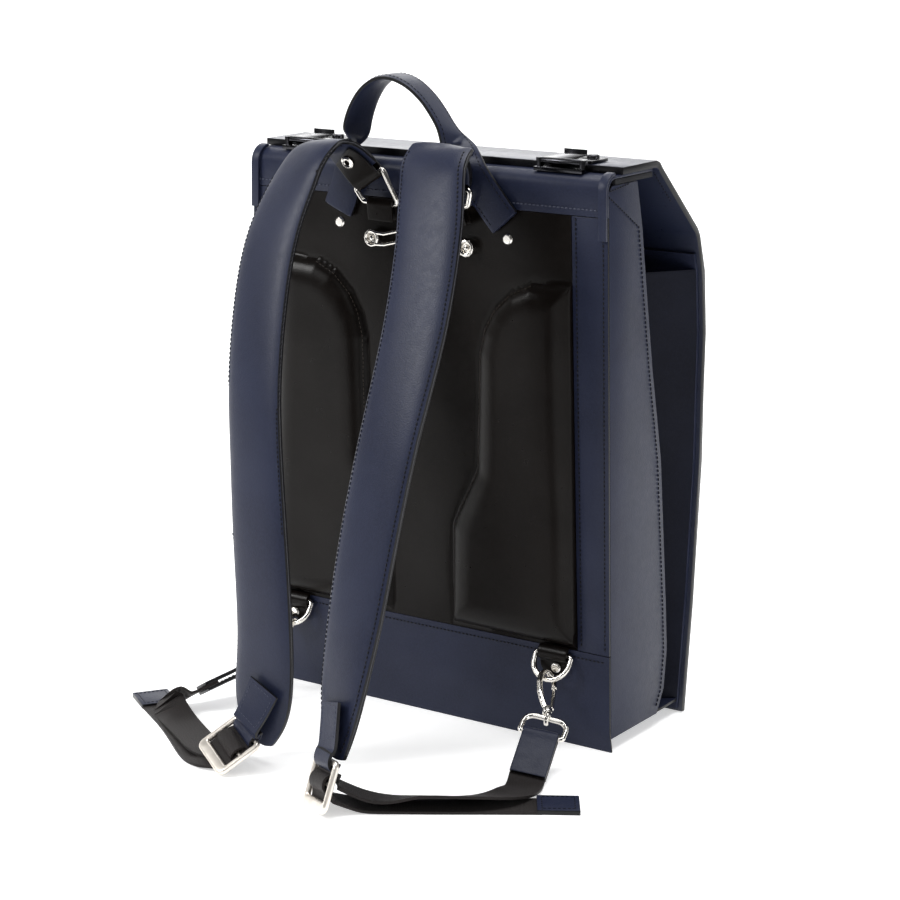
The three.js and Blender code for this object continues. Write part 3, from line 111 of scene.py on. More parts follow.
@contextmanager
def editing(piece: bpy.types.Object, mode: str = "FACE") -> Iterator[bmesh.types.BMesh]:
    """Opens a piece in edit mode and closes it again.

    Args:
        piece: The mesh object to edit.
        mode: The select mode, VERT, EDGE or FACE.

    Returns:
        The edit mesh, for selecting in code.
    """
    activate(piece)
    bpy.ops.object.mode_set(mode="EDIT")
    bpy.ops.mesh.select_mode(type=mode)
    bpy.ops.mesh.select_all(action="DESELECT")
    yield bmesh.from_edit_mesh(piece.data)
    bpy.ops.object.mode_set(mode="OBJECT")


def modify(piece: bpy.types.Object, kind: str, **values: object) -> None:
    """Adds a modifier to a piece and applies it.

    Args:
        piece: The object to change.
        kind: The modifier's type.
        values: The modifier's settings.
    """
    activate(piece)
    bpy.ops.object.modifier_add(type=kind)
    modifier = piece.modifiers[-1]
    for name, value in values.items():
        setattr(modifier, name, value)
    bpy.ops.object.modifier_apply(modifier=modifier.name)


def copy_of(node: str, name: str) -> bpy.types.Object:
    """Copies a CAD node, merges its loose triangles and joins them into quads.

    Args:
        node: The CAD node's name.
        name: The copy's name.

    Returns:
        The copy, free of its body and of its materials.
    """
    activate(frame["nodes"][node])
    bpy.ops.object.duplicate()
    piece = bpy.context.active_object
    piece.name = name
    for key in [key for key in piece.keys() if key.startswith("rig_")]:
        del piece[key]
    bpy.ops.object.parent_clear(type="CLEAR_KEEP_TRANSFORM")
    bpy.ops.mesh.customdata_custom_splitnormals_clear()
    piece.data.materials.clear()
    with editing(piece):
        bpy.ops.mesh.select_all(action="SELECT")
        bpy.ops.mesh.remove_doubles(threshold=3e-6)
        bpy.ops.mesh.tris_convert_to_quads(face_threshold=radians(30), shape_threshold=radians(60))
    return piece


def body_of(node: str) -> str:
    """The body that a CAD node rides on."""
    bodies = frame["record"]["behaviour"]["bodies"]
    return next(body for body, nodes in bodies.items() if node in nodes)


class Graph:
    """A material's node tree, written as short calls."""

    def __init__(self, name: str) -> None:
        """Starts an empty node material.

        Args:
            name: The material's name.
        """
        self.material = bpy.data.materials.new(name)
        self.material.use_nodes = True
        self.tree = self.material.node_tree
        self.shader = self.tree.nodes["Principled BSDF"]
        self.place = self.add("ShaderNodeTexCoord").outputs["Object"]

    def add(self, kind: str, **inputs: object) -> bpy.types.Node:
        """Adds a node with its inputs set or linked.

        Args:
            kind: The node's type.
            inputs: Values or sockets by input name, with _ for a space; props is a dict of settings.

        Returns:
            The new node.
        """
        node = self.tree.nodes.new(kind)
        for name, value in inputs.pop("props", {}).items():
            setattr(node, name, value)
        for name, value in inputs.items():
            socket = node.inputs[int(name[1:])] if name[1:].isdigit() else node.inputs[name.replace("_", " ")]
            if isinstance(value, bpy.types.NodeSocket):
                self.tree.links.new(value, socket)
            else:
                socket.default_value = value
        return node

    def noise(self, size: float, detail: float = 3.0, roughness: float = 0.5) -> bpy.types.NodeSocket:
        """A noise pattern with lumps of about a size in metres."""
        node = self.add("ShaderNodeTexNoise", Vector=self.place, Scale=1 / size, Detail=detail, Roughness=roughness)
        return node.outputs["Fac"]

    def cells(self, size: float, feature: str = "F1") -> bpy.types.NodeSocket:
        """Distances in a pattern of cells of about a size in metres."""
        props = {"feature": feature}
        node = self.add("ShaderNodeTexVoronoi", Vector=self.place, Scale=1 / size, props=props)
        return node.outputs["Distance"]

    def spread(self, value: bpy.types.NodeSocket, low: float, high: float,
               first: float = 0.3, last: float = 0.7) -> bpy.types.NodeSocket:
        """Maps a pattern from between first and last to between low and high."""
        node = self.add("ShaderNodeMapRange", Value=value, From_Min=first, From_Max=last, To_Min=low, To_Max=high)
        return node.outputs["Result"]

    def blend(self, share: bpy.types.NodeSocket, one: object, other: object) -> bpy.types.NodeSocket:
        """Mixes two colours by a share."""
        node = self.add("ShaderNodeMix", props={"data_type": "RGBA"})
        for socket, value in zip((node.inputs[0], node.inputs[6], node.inputs[7]), (share, one, other)):
            if isinstance(value, bpy.types.NodeSocket):
                self.tree.links.new(value, socket)
            else:
                socket.default_value = (*value, 1.0)
        return node.outputs[2]

    def bump(self, height: bpy.types.NodeSocket, depth: float,
             under: bpy.types.NodeSocket | None = None) -> bpy.types.NodeSocket:
        """Raises a surface by a pattern, on top of another bump."""
        inputs = {"Height": height, "Distance": depth, "Strength": 1.0}
        if under is not None:
            inputs["Normal"] = under
        return self.add("ShaderNodeBump", **inputs).outputs["Normal"]

    def finish(self, colour: object, roughness: object, normal: bpy.types.NodeSocket | None = None,
               **constants: float) -> bpy.types.Material:
        """Feeds the shader.

        Args:
            colour: A colour or a socket.
            roughness: A number or a socket.
            normal: The bumped normal, if any.
            constants: Values set straight on the shader's sockets, with _ for a space.

        Returns:
            The finished material.
        """
        for name, value in (("Base Color", colour), ("Roughness", roughness), ("Normal", normal)):
            if isinstance(value, bpy.types.NodeSocket):
                self.tree.links.new(value, self.shader.inputs[name])
            elif value is not None:
                self.shader.inputs[name].default_value = (*value, 1.0) if name == "Base Color" else value
        for name, value in constants.items():
            self.shader.inputs[name.replace("_", " ")].default_value = value
        return self.material


@dataclass(frozen=True)
class Leather:
    """A leather with pebbled grain, fine creases and slow changes of tone."""

    name: str
    colour: tuple[float, float, float]
    light: tuple[float, float, float]
    roughness: float = 0.42
    grain: float = 0.9 * MM
    depth: float = 0.05 * MM
    crease: float = 0.05 * MM
    gloss: float = 0.22

    def build(self) -> bpy.types.Material:
        """Builds the leather's material."""
        graph = Graph(self.name)
        pebbles = graph.cells(self.grain)
        creases = graph.noise(5 * MM, 6.0, 0.65)
        tone = graph.spread(graph.noise(45 * MM, 2.0), 0.0, 1.0, 0.35, 0.65)
        fleck = graph.spread(graph.noise(1.6 * MM, 4.0), 0.0, 0.35)
        base = graph.blend(tone, self.colour, self.light)
        worn = graph.blend(fleck, base, tuple(1.35 * value for value in self.light))
        rough = graph.spread(creases, self.roughness - 0.03, self.roughness + 0.05)
        normal = graph.bump(pebbles, self.depth, graph.bump(creases, self.crease))
        return graph.finish(worn, rough, normal, Specular_IOR_Level=self.gloss)


@dataclass(frozen=True)
class Webbing:
    """A close woven band with a satin face."""

    name: str = "woven_webbing"
    colour: tuple[float, float, float] = (0.0085, 0.0066, 0.0064)
    rib: float = 0.9 * MM

    def build(self) -> bpy.types.Material:
        """Builds the woven material."""
        graph = Graph(self.name)
        waves = []
        for turn in (0.6, -0.6):
            mapping = graph.add("ShaderNodeMapping", Vector=graph.place, Rotation=(0.0, 0.0, turn))
            wave = graph.add("ShaderNodeTexWave", Vector=mapping.outputs[0], Scale=0.31 / self.rib,
                             Distortion=0.4, Detail=1.0)
            waves.append(wave.outputs["Fac"])
        weave = graph.add("ShaderNodeMath", _0=waves[0], _1=waves[1], props={"operation": "MULTIPLY"})
        fuzz = graph.noise(0.5 * MM, 2.0)
        lit = graph.blend(graph.spread(fuzz, 0.0, 1.0), self.colour, tuple(2.2 * value for value in self.colour))
        normal = graph.bump(weave.outputs[0], 0.12 * MM, graph.bump(fuzz, 0.05 * MM))
        return graph.finish(lit, 0.62, normal, Sheen_Weight=0.06, Sheen_Roughness=0.4,
                            Specular_IOR_Level=0.25)


@dataclass(frozen=True)
class Plating:
    """Polished metal with faint smears and fine scratches."""

    name: str
    colour: tuple[float, float, float]
    roughness: float = 0.14

    def build(self) -> bpy.types.Material:
        """Builds the plated material."""
        graph = Graph(self.name)
        smear = graph.noise(7 * MM, 3.0)
        rough = graph.spread(smear, self.roughness - 0.04, self.roughness + 0.08)
        shade = graph.blend(graph.spread(smear, 0.0, 1.0), self.colour, tuple(0.86 * v for v in self.colour))
        return graph.finish(shade, rough, graph.bump(graph.noise(2.5 * MM, 2.0), 0.01 * MM), Metallic=1.0)


@dataclass(frozen=True)
class Plain:
    """A quiet finish with fine mottling, for paint, thread and board."""

    name: str
    colour: tuple[float, float, float]
    roughness: float = 0.6
    speck: float = 1.2 * MM

    def build(self) -> bpy.types.Material:
        """Builds the mottled material."""
        graph = Graph(self.name)
        speck = graph.noise(self.speck, 3.0)
        shade = graph.blend(graph.spread(speck, 0.0, 1.0), self.colour, tuple(1.5 * v for v in self.colour))
        return graph.finish(shade, graph.spread(speck, self.roughness - 0.05, self.roughness + 0.05),
                            graph.bump(speck, 0.02 * MM), Specular_IOR_Level=0.25)


FINISHES = {
    finish.name: finish.build()
    for finish in (
        Leather("navy_leather_face", (0.0105, 0.0135, 0.0310), (0.0150, 0.0190, 0.0410)),
        Leather("creased_leather", (0.0105, 0.0135, 0.0310), (0.0150, 0.0190, 0.0410), crease=0.22 * MM),
        Leather("flap_leather", (0.0100, 0.0130, 0.0290), (0.0140, 0.0180, 0.0380), 0.3, gloss=0.5),
        # painted shade: the navy leather darkened to about a third, with less gloss, for faces that sit in shadow
        Leather("shaded_leather", (0.0035, 0.0042, 0.0090), (0.0055, 0.0066, 0.0135), 0.5, gloss=0.08),
        Leather("black_pad_leather", (0.0030, 0.0021, 0.0017), (0.0052, 0.0038, 0.0031), 0.3, 0.7 * MM,
                0.03 * MM, 0.05 * MM, 0.13),
        Leather("dark_lining", (0.0060, 0.0062, 0.0085), (0.0090, 0.0092, 0.0120), 0.5),
        Webbing(),
        Plating("nickel_plate", (0.83, 0.80, 0.75)),
        Plating("champagne_plate", (0.92, 0.86, 0.78), 0.34),
        Plating("dark_plate", (0.045, 0.045, 0.05), 0.22),
        Plain("edge_paint", (0.0045, 0.0045, 0.0055), 0.32),
        Plain("edge_lining", (0.055, 0.055, 0.062), 0.6),
        Plain("navy_thread", (0.0018, 0.0022, 0.0050), 0.6, 0.4 * MM),
        Plain("pale_thread", (0.045, 0.050, 0.075), 0.55, 0.4 * MM),
        Plain("brown_thread", (0.030, 0.024, 0.019), 0.55, 0.4 * MM),
        Plain("stiff_board", (0.012, 0.012, 0.014), 0.8),
    )
}

FACE_OF_SLOT = {
    Slot.NAVY: "navy_leather_face",
    Slot.BLACK: "black_pad_leather",
    Slot.WEBBING: "woven_webbing",
    Slot.BOARD: "stiff_board",
    Slot.NICKEL: "nickel_plate",
    Slot.GUNMETAL: "dark_plate",
}


def settle(piece: bpy.types.Object, node: str | None = None, body: str = "root") -> None:
    """Puts a finished piece into the frame and reports it.

    Args:
        piece: The finished object, its place in its mesh.
        node: The CAD node that it stands for, if any.
        body: The body that it rides on when it stands for no node.
    """
    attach(piece, body_of(node) if node else body)
    if node:
        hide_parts(node)
    LOG.info("%s: %d faces", piece.name, len(piece.data.polygons))


def is_wall(face: bmesh.types.BMFace, limit: float) -> bool:
    """Whether a quad is a strip's cut edge: narrow, with a sharp edge along both long sides.

    Args:
        face: The face to look at.
        limit: The widest cut edge.

    Returns:
        True for a cut edge.
    """
    if len(face.edges) != 4:
        return False
    sharp = [edge.calc_face_angle(0.0) > radians(40) for edge in face.edges]
    for i in (0, 1):
        ends = (face.edges[i + 1].calc_length(), face.edges[(i + 3) % 4].calc_length())
        if sharp[i] and sharp[i + 2] and max(ends) < limit:
            return True
    return False


def paint_walls(piece: bpy.types.Object, limit: float, sideways: bool = False) -> None:
    """Gives a piece's cut edges its second material.

    Args:
        piece: The piece, with two materials.
        limit: The widest cut edge.
        sideways: Whether faces that look along X are cut edges too.
    """
    with editing(piece) as mesh:
        for face in mesh.faces:
            face.select = is_wall(face, limit) or (sideways and abs(face.normal.x) > 0.9)
        bmesh.update_edit_mesh(piece.data)
        piece.active_material_index = 1
        bpy.ops.object.material_slot_assign()


def widen_walls(piece: bpy.types.Object, limit: float, extra: float) -> None:
    """Thickens a band at its cut edges.

    Args:
        piece: The band's plain copy.
        limit: The widest cut edge.
        extra: How far each corner line moves away from the one across.
    """
    mesh = bmesh.new()
    mesh.from_mesh(piece.data)
    moves: dict[int, Vector] = {}
    for face in mesh.faces:
        if not is_wall(face, limit):
            continue
        for edge in face.edges:
            a, b = edge.verts
            if edge.calc_length() < limit and edge.calc_face_angle(0.0) < radians(40):
                moves[a.index] = (a.co - b.co).normalized() * extra
                moves[b.index] = (b.co - a.co).normalized() * extra
    mesh.free()
    for index, move in moves.items():
        piece.data.vertices[index].co += move


@dataclass(frozen=True)
class Dressing:
    """How one CAD node becomes a finished piece."""

    node: str
    name: str
    slot: Slot
    form: Form
    bevel: float = 0.4 * MM
    levels: int = 0
    edge: str | None = None
    edge_limit: float = 6 * MM
    sideways: bool = False
    voxel: float = 0.3 * MM
    face: str | None = None
    smoothing: int = 10
    grow: float = 0.0
    crease: float = 0.0

    def build(self, shape: Callable[[bpy.types.Object], None] | None = None) -> bpy.types.Object:
        """Builds the finished piece and puts it into the frame.

        Args:
            shape: Reshapes the plain copy before its edges are worked.

        Returns:
            The finished piece.
        """
        piece = copy_of(self.node, self.name)
        piece.data.materials.append(FINISHES[self.face or FACE_OF_SLOT[self.slot]])
        if self.edge:
            piece.data.materials.append(FINISHES[self.edge])
            paint_walls(piece, self.edge_limit, self.sideways)
        if shape:
            shape(piece)
        if self.crease:
            self._crease(piece)
        if self.form is Form.CAST:
            modify(piece, "REMESH", mode="VOXEL", voxel_size=self.voxel)
            modify(piece, "SMOOTH", factor=0.5, iterations=self.smoothing)
        elif self.bevel:
            modify(piece, "BEVEL", width=self.bevel, segments=2, limit_method="ANGLE",
                   angle_limit=radians(35), harden_normals=False)
        if self.levels:
            modify(piece, "SUBSURF", levels=self.levels, render_levels=self.levels)
        if self.grow:
            modify(piece, "DISPLACE", strength=self.grow, mid_level=0.0)
        activate(piece)
        bpy.ops.object.shade_smooth_by_angle(angle=radians(180 if self.form is Form.CAST else 38))
        settle(piece, self.node)
        return piece

    def _crease(self, piece: bpy.types.Object) -> None:
        """Keeps the sharp edges of a piece crisp when it is rounded."""
        with editing(piece, "EDGE") as mesh:
            for edge in mesh.edges:
                edge.select = edge.calc_face_angle(0.0) > radians(40)
            bmesh.update_edit_mesh(piece.data)
            bpy.ops.transform.edge_crease(value=self.crease)


def rails(node: str) -> list[list[Vector]]:
    """The four long corner lines of a band-like CAD solid, all running the same way.

    Args:
        node: The CAD node's name.

    Returns:
        Four lines, the two of the first cut edge and then the two of the other one.
    """
    band = copy_of(node, "band_reader")
    mesh = bmesh.new()
    mesh.from_mesh(band.data)
    bpy.data.objects.remove(band)
    sharp = {edge for edge in mesh.edges if edge.calc_face_angle(0.0) > radians(40)}
    corners = {v for v in mesh.verts if sum(edge in sharp for edge in v.link_edges) >= 3}
    lines: list[list[Vector]] = []
    used: set[bmesh.types.BMEdge] = set()
    for corner in corners:
        for edge in corner.link_edges:
            if edge not in sharp or edge in used:
                continue
            line = [corner.co.copy()]
            here, along = corner, edge
            while along is not None:
                used.add(along)
                here = along.other_vert(here)
                line.append(here.co.copy())
                ahead = [e for e in here.link_edges if e in sharp and e not in used]
                along = ahead[0] if here not in corners and ahead else None
            lines.append(line)
    mesh.free()
    lines.sort(key=len, reverse=True)
    four = lines[:4]
    first = four[0]
    for line in four[1:]:
        if (line[0] - first[0]).length > (line[-1] - first[0]).length:
            line.reverse()
    middle = len(first) // 2
    four[1:] = sorted(four[1:], key=lambda line: (line[min(middle, len(line) - 1)] - first[middle]).length)
    return four


def face_lines(node: str, toward: Vector) -> tuple[list[Vector], list[Vector]]:
    """The two edge lines of a band's face that looks more toward a direction.

    Args:
        node: The CAD node's name.
        toward: The direction that the wanted face looks in, at the band's middle.

    Returns:
        The face's two edge lines, point for point across from each other.
    """
    four = rails(node)
    middle = len(four[0]) // 2
    pairs = [sorted(pair, key=lambda line: -line[min(middle, len(line) - 1)].dot(toward))
             for pair in (four[:2], four[2:])]
    return pairs[0][0], pairs[1][0]


def inset_line(near: Sequence[Vector], far: Sequence[Vector], inset: float) -> list[Vector]:
    """A line that runs inside one edge of a face by a distance."""
    return [a + (b - a).normalized() * inset for a, b in zip(near, far)]


def trim(line: Sequence[Vector], start: float, end: float) -> list[Vector]:
    """Cuts a length off each end of a line.

    Args:
        line: The line's points.
        start: The length cut off at its start.
        end: The length cut off at its end.

    Returns:
        The points that are left, with new ends.
    """
    points = list(line)
    for length in (start, end):
        rest = length
        while len(points) > 2 and (points[1] - points[0]).length <= rest:
            rest -= (points[1] - points[0]).length
            points.pop(0)
        points[0] = points[0] + (points[1] - points[0]).normalized() * rest
        points.reverse()
    return points


def onto(target: bpy.types.Object, points: Sequence[Vector], lift: float, step: float = 3 * MM) -> list[Vector]:
    """Lays a line on a piece's surface.

    Args:
        target: The piece that carries the line.
        points: The line's points, close to the surface.
        lift: How far the line stands off the surface.
        step: The longest stretch between two laid points.

    Returns:
        The laid line.
    """
    tree = BVHTree.FromObject(target, bpy.context.evaluated_depsgraph_get())
    fine: list[Vector] = []
    for a, b in zip(points, points[1:]):
        count = max(1, round((b - a).length / step))
        fine += [a.lerp(b, i / count) for i in range(count)]
    fine.append(points[-1])
    laid = []
    for point in fine:
        place, normal, _, _ = tree.find_nearest(point)
        laid.append(place + normal * lift)
    return laid


@dataclass(frozen=True)
class Seam:
    """A row of stitches along a line."""

    pitch: float = 2.9 * MM
    length: float = 2.2 * MM
    thickness: float = 1.05 * MM
    thread: str = "navy_thread"

    def sew(self, lines: Sequence[Sequence[Vector]], name: str,
            body: str = "root") -> bpy.types.Object:
        """Sews stitches along lines and puts them into the frame as one piece.

        Args:
            lines: The seam's lines, already on the surface.
            name: The piece's name.
            body: The body that the seam rides on.

        Returns:
            The row of stitches.
        """
        rows = [self._row(line) for line in lines]
        activate(rows[0])
        for row in rows[1:]:
            row.select_set(True)
        if len(rows) > 1:
            bpy.ops.object.join()
        seam = rows[0]
        seam.name = name
        seam.data.materials.append(FINISHES[self.thread])
        activate(seam)
        bpy.ops.object.shade_smooth()
        settle(seam, body=body)
        return seam

    def _row(self, line: Sequence[Vector]) -> bpy.types.Object:
        """Models one stitch, repeats it and bends the row along a line.

        Args:
            line: The seam's points.

        Returns:
            The row's mesh object.
        """
        course = bpy.data.curves.new("seam_course", "CURVE")
        course.dimensions = "3D"
        spline = course.splines.new("POLY")
        spline.points.add(len(line) - 1)
        for point, place in zip(spline.points, line):
            point.co = (*place, 1.0)
        guide = bpy.data.objects.new("seam_course", course)
        bpy.context.scene.collection.objects.link(guide)
        deselect()
        bpy.ops.mesh.primitive_uv_sphere_add(segments=6, ring_count=4, radius=0.5, location=(0, 0, 0))
        stitch = bpy.context.active_object
        with editing(stitch):
            bpy.ops.mesh.select_all(action="SELECT")
            bpy.ops.transform.rotate(value=pi / 2, orient_axis="Y", center_override=(0, 0, 0))
            bpy.ops.transform.resize(value=(self.length, self.thickness, self.thickness))
            bpy.ops.transform.translate(value=(self.pitch / 2, 0, 0))
        modify(stitch, "ARRAY", fit_type="FIT_CURVE", curve=guide, use_relative_offset=False,
               use_constant_offset=True, constant_offset_displace=(self.pitch, 0, 0))
        modify(stitch, "CURVE", object=guide, deform_axis="POS_X")
        bpy.data.objects.remove(guide)
        return stitch


def cord_along(points: Sequence[Vector], radius: float, name: str, finish: str,
               closed: bool = False, flat: float = 1.0, body: str = "root") -> bpy.types.Object:
    """A thin raised line, such as a seam's cord or the lining that shows on a cut edge.

    Args:
        points: The line's points.
        radius: The line's half thickness.
        name: The piece's name.
        finish: The finish's name.
        closed: Whether the line joins its own start.
        flat: Not used; the line stays round, as at the default of 1.
        body: The body that it rides on.

    Returns:
        The line's mesh object.
    """
    course = bpy.data.curves.new(name, "CURVE")
    course.dimensions = "3D"
    course.bevel_depth = radius
    course.bevel_resolution = 2
    course.use_fill_caps = True
    spline = course.splines.new("POLY")
    spline.points.add(len(points) - 1)
    for point, place in zip(spline.points, points):
        point.co = (*place, 1.0)
    spline.use_cyclic_u = closed
    piece = bpy.data.objects.new(name, course)
    bpy.context.scene.collection.objects.link(piece)
    activate(piece)
    bpy.ops.object.convert(target="MESH")
    piece = bpy.context.active_object
    piece.data.materials.append(FINISHES[finish])
    bpy.ops.object.shade_smooth()
    settle(piece, body=body)
    return piece


def main() -> None:
    """Builds every sub-assembly, the studio and the camera."""
    logging.basicConfig(level=logging.INFO, format="%(name)s %(message)s")
    Body().build()
    Flap().build()
    Straps().build()
    Handle().build()
    Hardware().build()
    Studio().build()


@dataclass
class Body:
    """The stiff body: back, strips, bands, sides, walls and the moulded back pad."""

    hem: float = 4.2 * MM
    strip_hem: float = 3 * MM
    gusset_hem: float = 4.6 * MM
    lift: float = 0.12 * MM
    puff_rise: float = 8.2 * MM
    puff_run: float = 19 * MM
    crease_depth: float = 0.8 * MM
    crease_width: float = 1.5 * MM
    wave_size: float = 34 * MM
    wave_depth: float = 0.5 * MM
    pad_outline: tuple[tuple[float, float], ...] = (
        (0.0241, 0.0656), (0.0241, 0.1300), (0.0284, 0.1405), (0.0426, 0.1693), (0.0440, 0.2450), (0.0475, 0.2600),
        (0.0545, 0.2730), (0.0670, 0.2850), (0.0810, 0.2915), (0.1115, 0.2935), (0.1215, 0.0640),
    )
    plates: tuple[str, ...] = (
        "side_strip_left", "side_strip_right", "gusset_left", "gusset_right", "main_front",
        "pocket_front", "pocket_floor", "bottom_panel", "lower_band", "corner_piping_left",
        "corner_piping_right",
    )
    pieces: dict[str, bpy.types.Object] = field(default_factory=dict)

    def build(self) -> None:
        """Builds the body's pieces and their seams."""
        for node in self.plates:
            dressing = Dressing(node, f"{node}_leather", Slot.NAVY, Form.PLATE, edge="edge_paint",
                                edge_limit=3.5 * MM)
            self.pieces[node] = dressing.build()
        # The pocket's sides take the darker leather: painted shade for sides that sit in shadow behind the flap.
        for side in SIDES:
            node = f"pocket_gusset_{side}"
            self.pieces[node] = Dressing(node, f"{node}_leather", Slot.NAVY, Form.PLATE,
                                         face="shaded_leather").build()
        self.pieces["top_cover"] = Dressing("top_cover", "top_cover_leather", Slot.NAVY, Form.PLATE,
                                            edge="edge_paint", edge_limit=3.5 * MM).build()
        for node in ("back_wall", "top_board"):
            Dressing(node, f"{node}_core", Slot.BOARD, Form.PLATE).build()
        self._pad()
        self._back_seams()
        self._side_seams()

    def _pad(self) -> None:
        """Builds the moulded pad: two puffed sides with crisp outlines, sewn along their upper curves."""
        pad = copy_of("back_pad", "back_pad_moulded")
        pad.data.materials.append(FINISHES["black_pad_leather"])
        modify(pad, "SUBSURF", subdivision_type="SIMPLE", levels=3, render_levels=3)
        low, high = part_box("back_pad")
        rim = high.y - 1.1 * MM
        for vertex in pad.data.vertices:
            if vertex.co.y <= rim + 0.02 * MM:
                vertex.co.y = rim - self._rise(vertex.co.x, vertex.co.z)
        activate(pad)
        bpy.ops.object.shade_smooth_by_angle(angle=radians(60))
        settle(pad, "back_pad")
        self.pieces["back_pad"] = pad
        curve = [Vector((x, z)) for x, z in self.pad_outline[2:9]]
        rows = []
        for sign in SIDES.values():
            line = [Vector((sign * x, rim - 4 * MM, z)) for x, z in curve]
            rows.append(onto(pad, line, 0.1 * MM, 2 * MM))
        Seam(thread="brown_thread", length=2.2 * MM, thickness=0.5 * MM).sew(rows, "back_pad_stitches")

    def _rise(self, x: float, z: float) -> float:
        """How far the pad's face stands out at a place.

        Args:
            x: The place's distance from the middle.
            z: Its height.

        Returns:
            The height above the pad's rim.
        """
        point = Vector((abs(x), z))
        inside, nearest = False, 1.0
        outline = [Vector(corner) for corner in self.pad_outline]
        for a, b in zip(outline, outline[1:] + outline[:1]):
            side = b - a
            share = min(max((point - a).dot(side) / side.dot(side), 0.0), 1.0)
            nearest = min(nearest, (a + side * share - point).length)
            if (a.y > z) != (b.y > z) and point.x < a.x + (z - a.y) / side.y * side.x:
                inside = not inside
        crease = self.crease_depth * 2.718 ** (-((nearest / self.crease_width) ** 2))
        waves = noise.noise(Vector((x, z, 0.3)) / self.wave_size) * self.wave_depth
        edge = min(1.0, nearest / (6 * MM))
        if not inside:
            return max(0.0, 0.35 * MM + waves * edge - crease)
        run = min(nearest / self.puff_run, 1.0)
        puff = (1 - (1 - run) ** 2.4) ** 0.62
        return 0.35 * MM + self.puff_rise * puff + waves * edge - crease

    def _back_seams(self) -> None:
        """Sews the strips, the top band's hem and the lower band."""
        self._sew_strips()
        low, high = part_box("lower_band")
        y, z = low.y, high.z - self.hem
        line = [Vector((low.x + 8 * MM, y, z)), Vector((high.x - 8 * MM, y, z))]
        Seam().sew([onto(self.pieces["lower_band"], line, self.lift)], "lower_band_stitches")
        low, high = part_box("top_cover")
        z = low.z + self.hem
        line = [Vector((low.x + 4 * MM, low.y, z)), Vector((high.x - 4 * MM, low.y, z))]
        Seam(thread="pale_thread").sew([onto(self.pieces["top_cover"], line, self.lift)], "top_hem_stitches")

    def _sew_strips(self) -> None:
        """Sews a row along each long edge of both side strips."""
        for side, sign in SIDES.items():
            near, far = self._strip_edges(side)
            rows = [trim(inset_line(near, far, self.strip_hem), 3 * MM, 3 * MM),
                    trim(inset_line(far, near, self.strip_hem), 3 * MM, 3 * MM)]
            strip = self.pieces[f"side_strip_{side}"]
            Seam().sew([onto(strip, row, self.lift) for row in rows], f"side_strip_{side}_stitches")

    def _strip_edges(self, side: str) -> tuple[list[Vector], list[Vector]]:
        """The outer and inner edge of a side strip's face, from its foot to its top."""
        mesh = frame["nodes"][f"side_strip_{side}"].data
        front = min(vertex.co.y for vertex in mesh.vertices)
        face = [vertex.co.copy() for vertex in mesh.vertices if vertex.co.y < front + 0.1 * MM]
        low, high = min(p.z for p in face), max(p.z for p in face)
        ends = []
        for level in (low, high):
            row = sorted((p for p in face if abs(p.z - level) < 0.5 * MM), key=lambda p: abs(p.x))
            ends.append((row[-1], row[0]))
        return [ends[0][0], ends[1][0]], [ends[0][1], ends[1][1]]

    def _side_seams(self) -> None:
        """Sews the slanted front edge of each side."""
        for side, sign in SIDES.items():
            mesh = frame["nodes"][f"gusset_{side}"].data
            levels: dict[int, Vector] = {}
            for vertex in mesh.vertices:
                key = round(vertex.co.z * 500)
                rank = (round(vertex.co.y, 4), vertex.co.x * sign)
                if key not in levels or rank > (round(levels[key].y, 4), levels[key].x * sign):
                    levels[key] = vertex.co.copy()
            line = [levels[key] - Vector((0, self.gusset_hem, 0)) for key in sorted(levels)]
            rows = [onto(self.pieces[f"gusset_{side}"], trim(line, 6 * MM, 6 * MM), self.lift)]
            Seam().sew(rows, f"gusset_{side}_stitches")


@dataclass
class Flap:
    """The board-stiff flap that wraps over the top and down the front."""

    hem: float = 4.5 * MM

    def build(self) -> None:
        """Builds the flap and its border stitches."""
        piece = Dressing("flap", "flap_leather", Slot.NAVY, Form.PLATE, bevel=0.9 * MM, edge="edge_paint",
                         edge_limit=6 * MM, sideways=True, face="flap_leather").build()
        mesh = frame["nodes"]["flap"].data
        for side, sign in SIDES.items():
            outer: dict[int, Vector] = {}
            for vertex in mesh.vertices:
                if vertex.co.x * sign > 0.1:
                    key = round(vertex.co.z * 1000)
                    if key not in outer or vertex.co.y > outer[key].y:
                        outer[key] = vertex.co.copy()
            line = [point for point in outer.values() if not any(
                abs(other.z - point.z) < 9 * MM and other.y > point.y + 3.4 * MM for other in outer.values())]
            line = [point - Vector((sign * self.hem, 0, 0)) for point in sorted(line, key=lambda p: p.z)]
            Seam().sew([onto(piece, trim(line, 5 * MM, 5 * MM), 0.12 * MM)], f"flap_{side}_stitches")


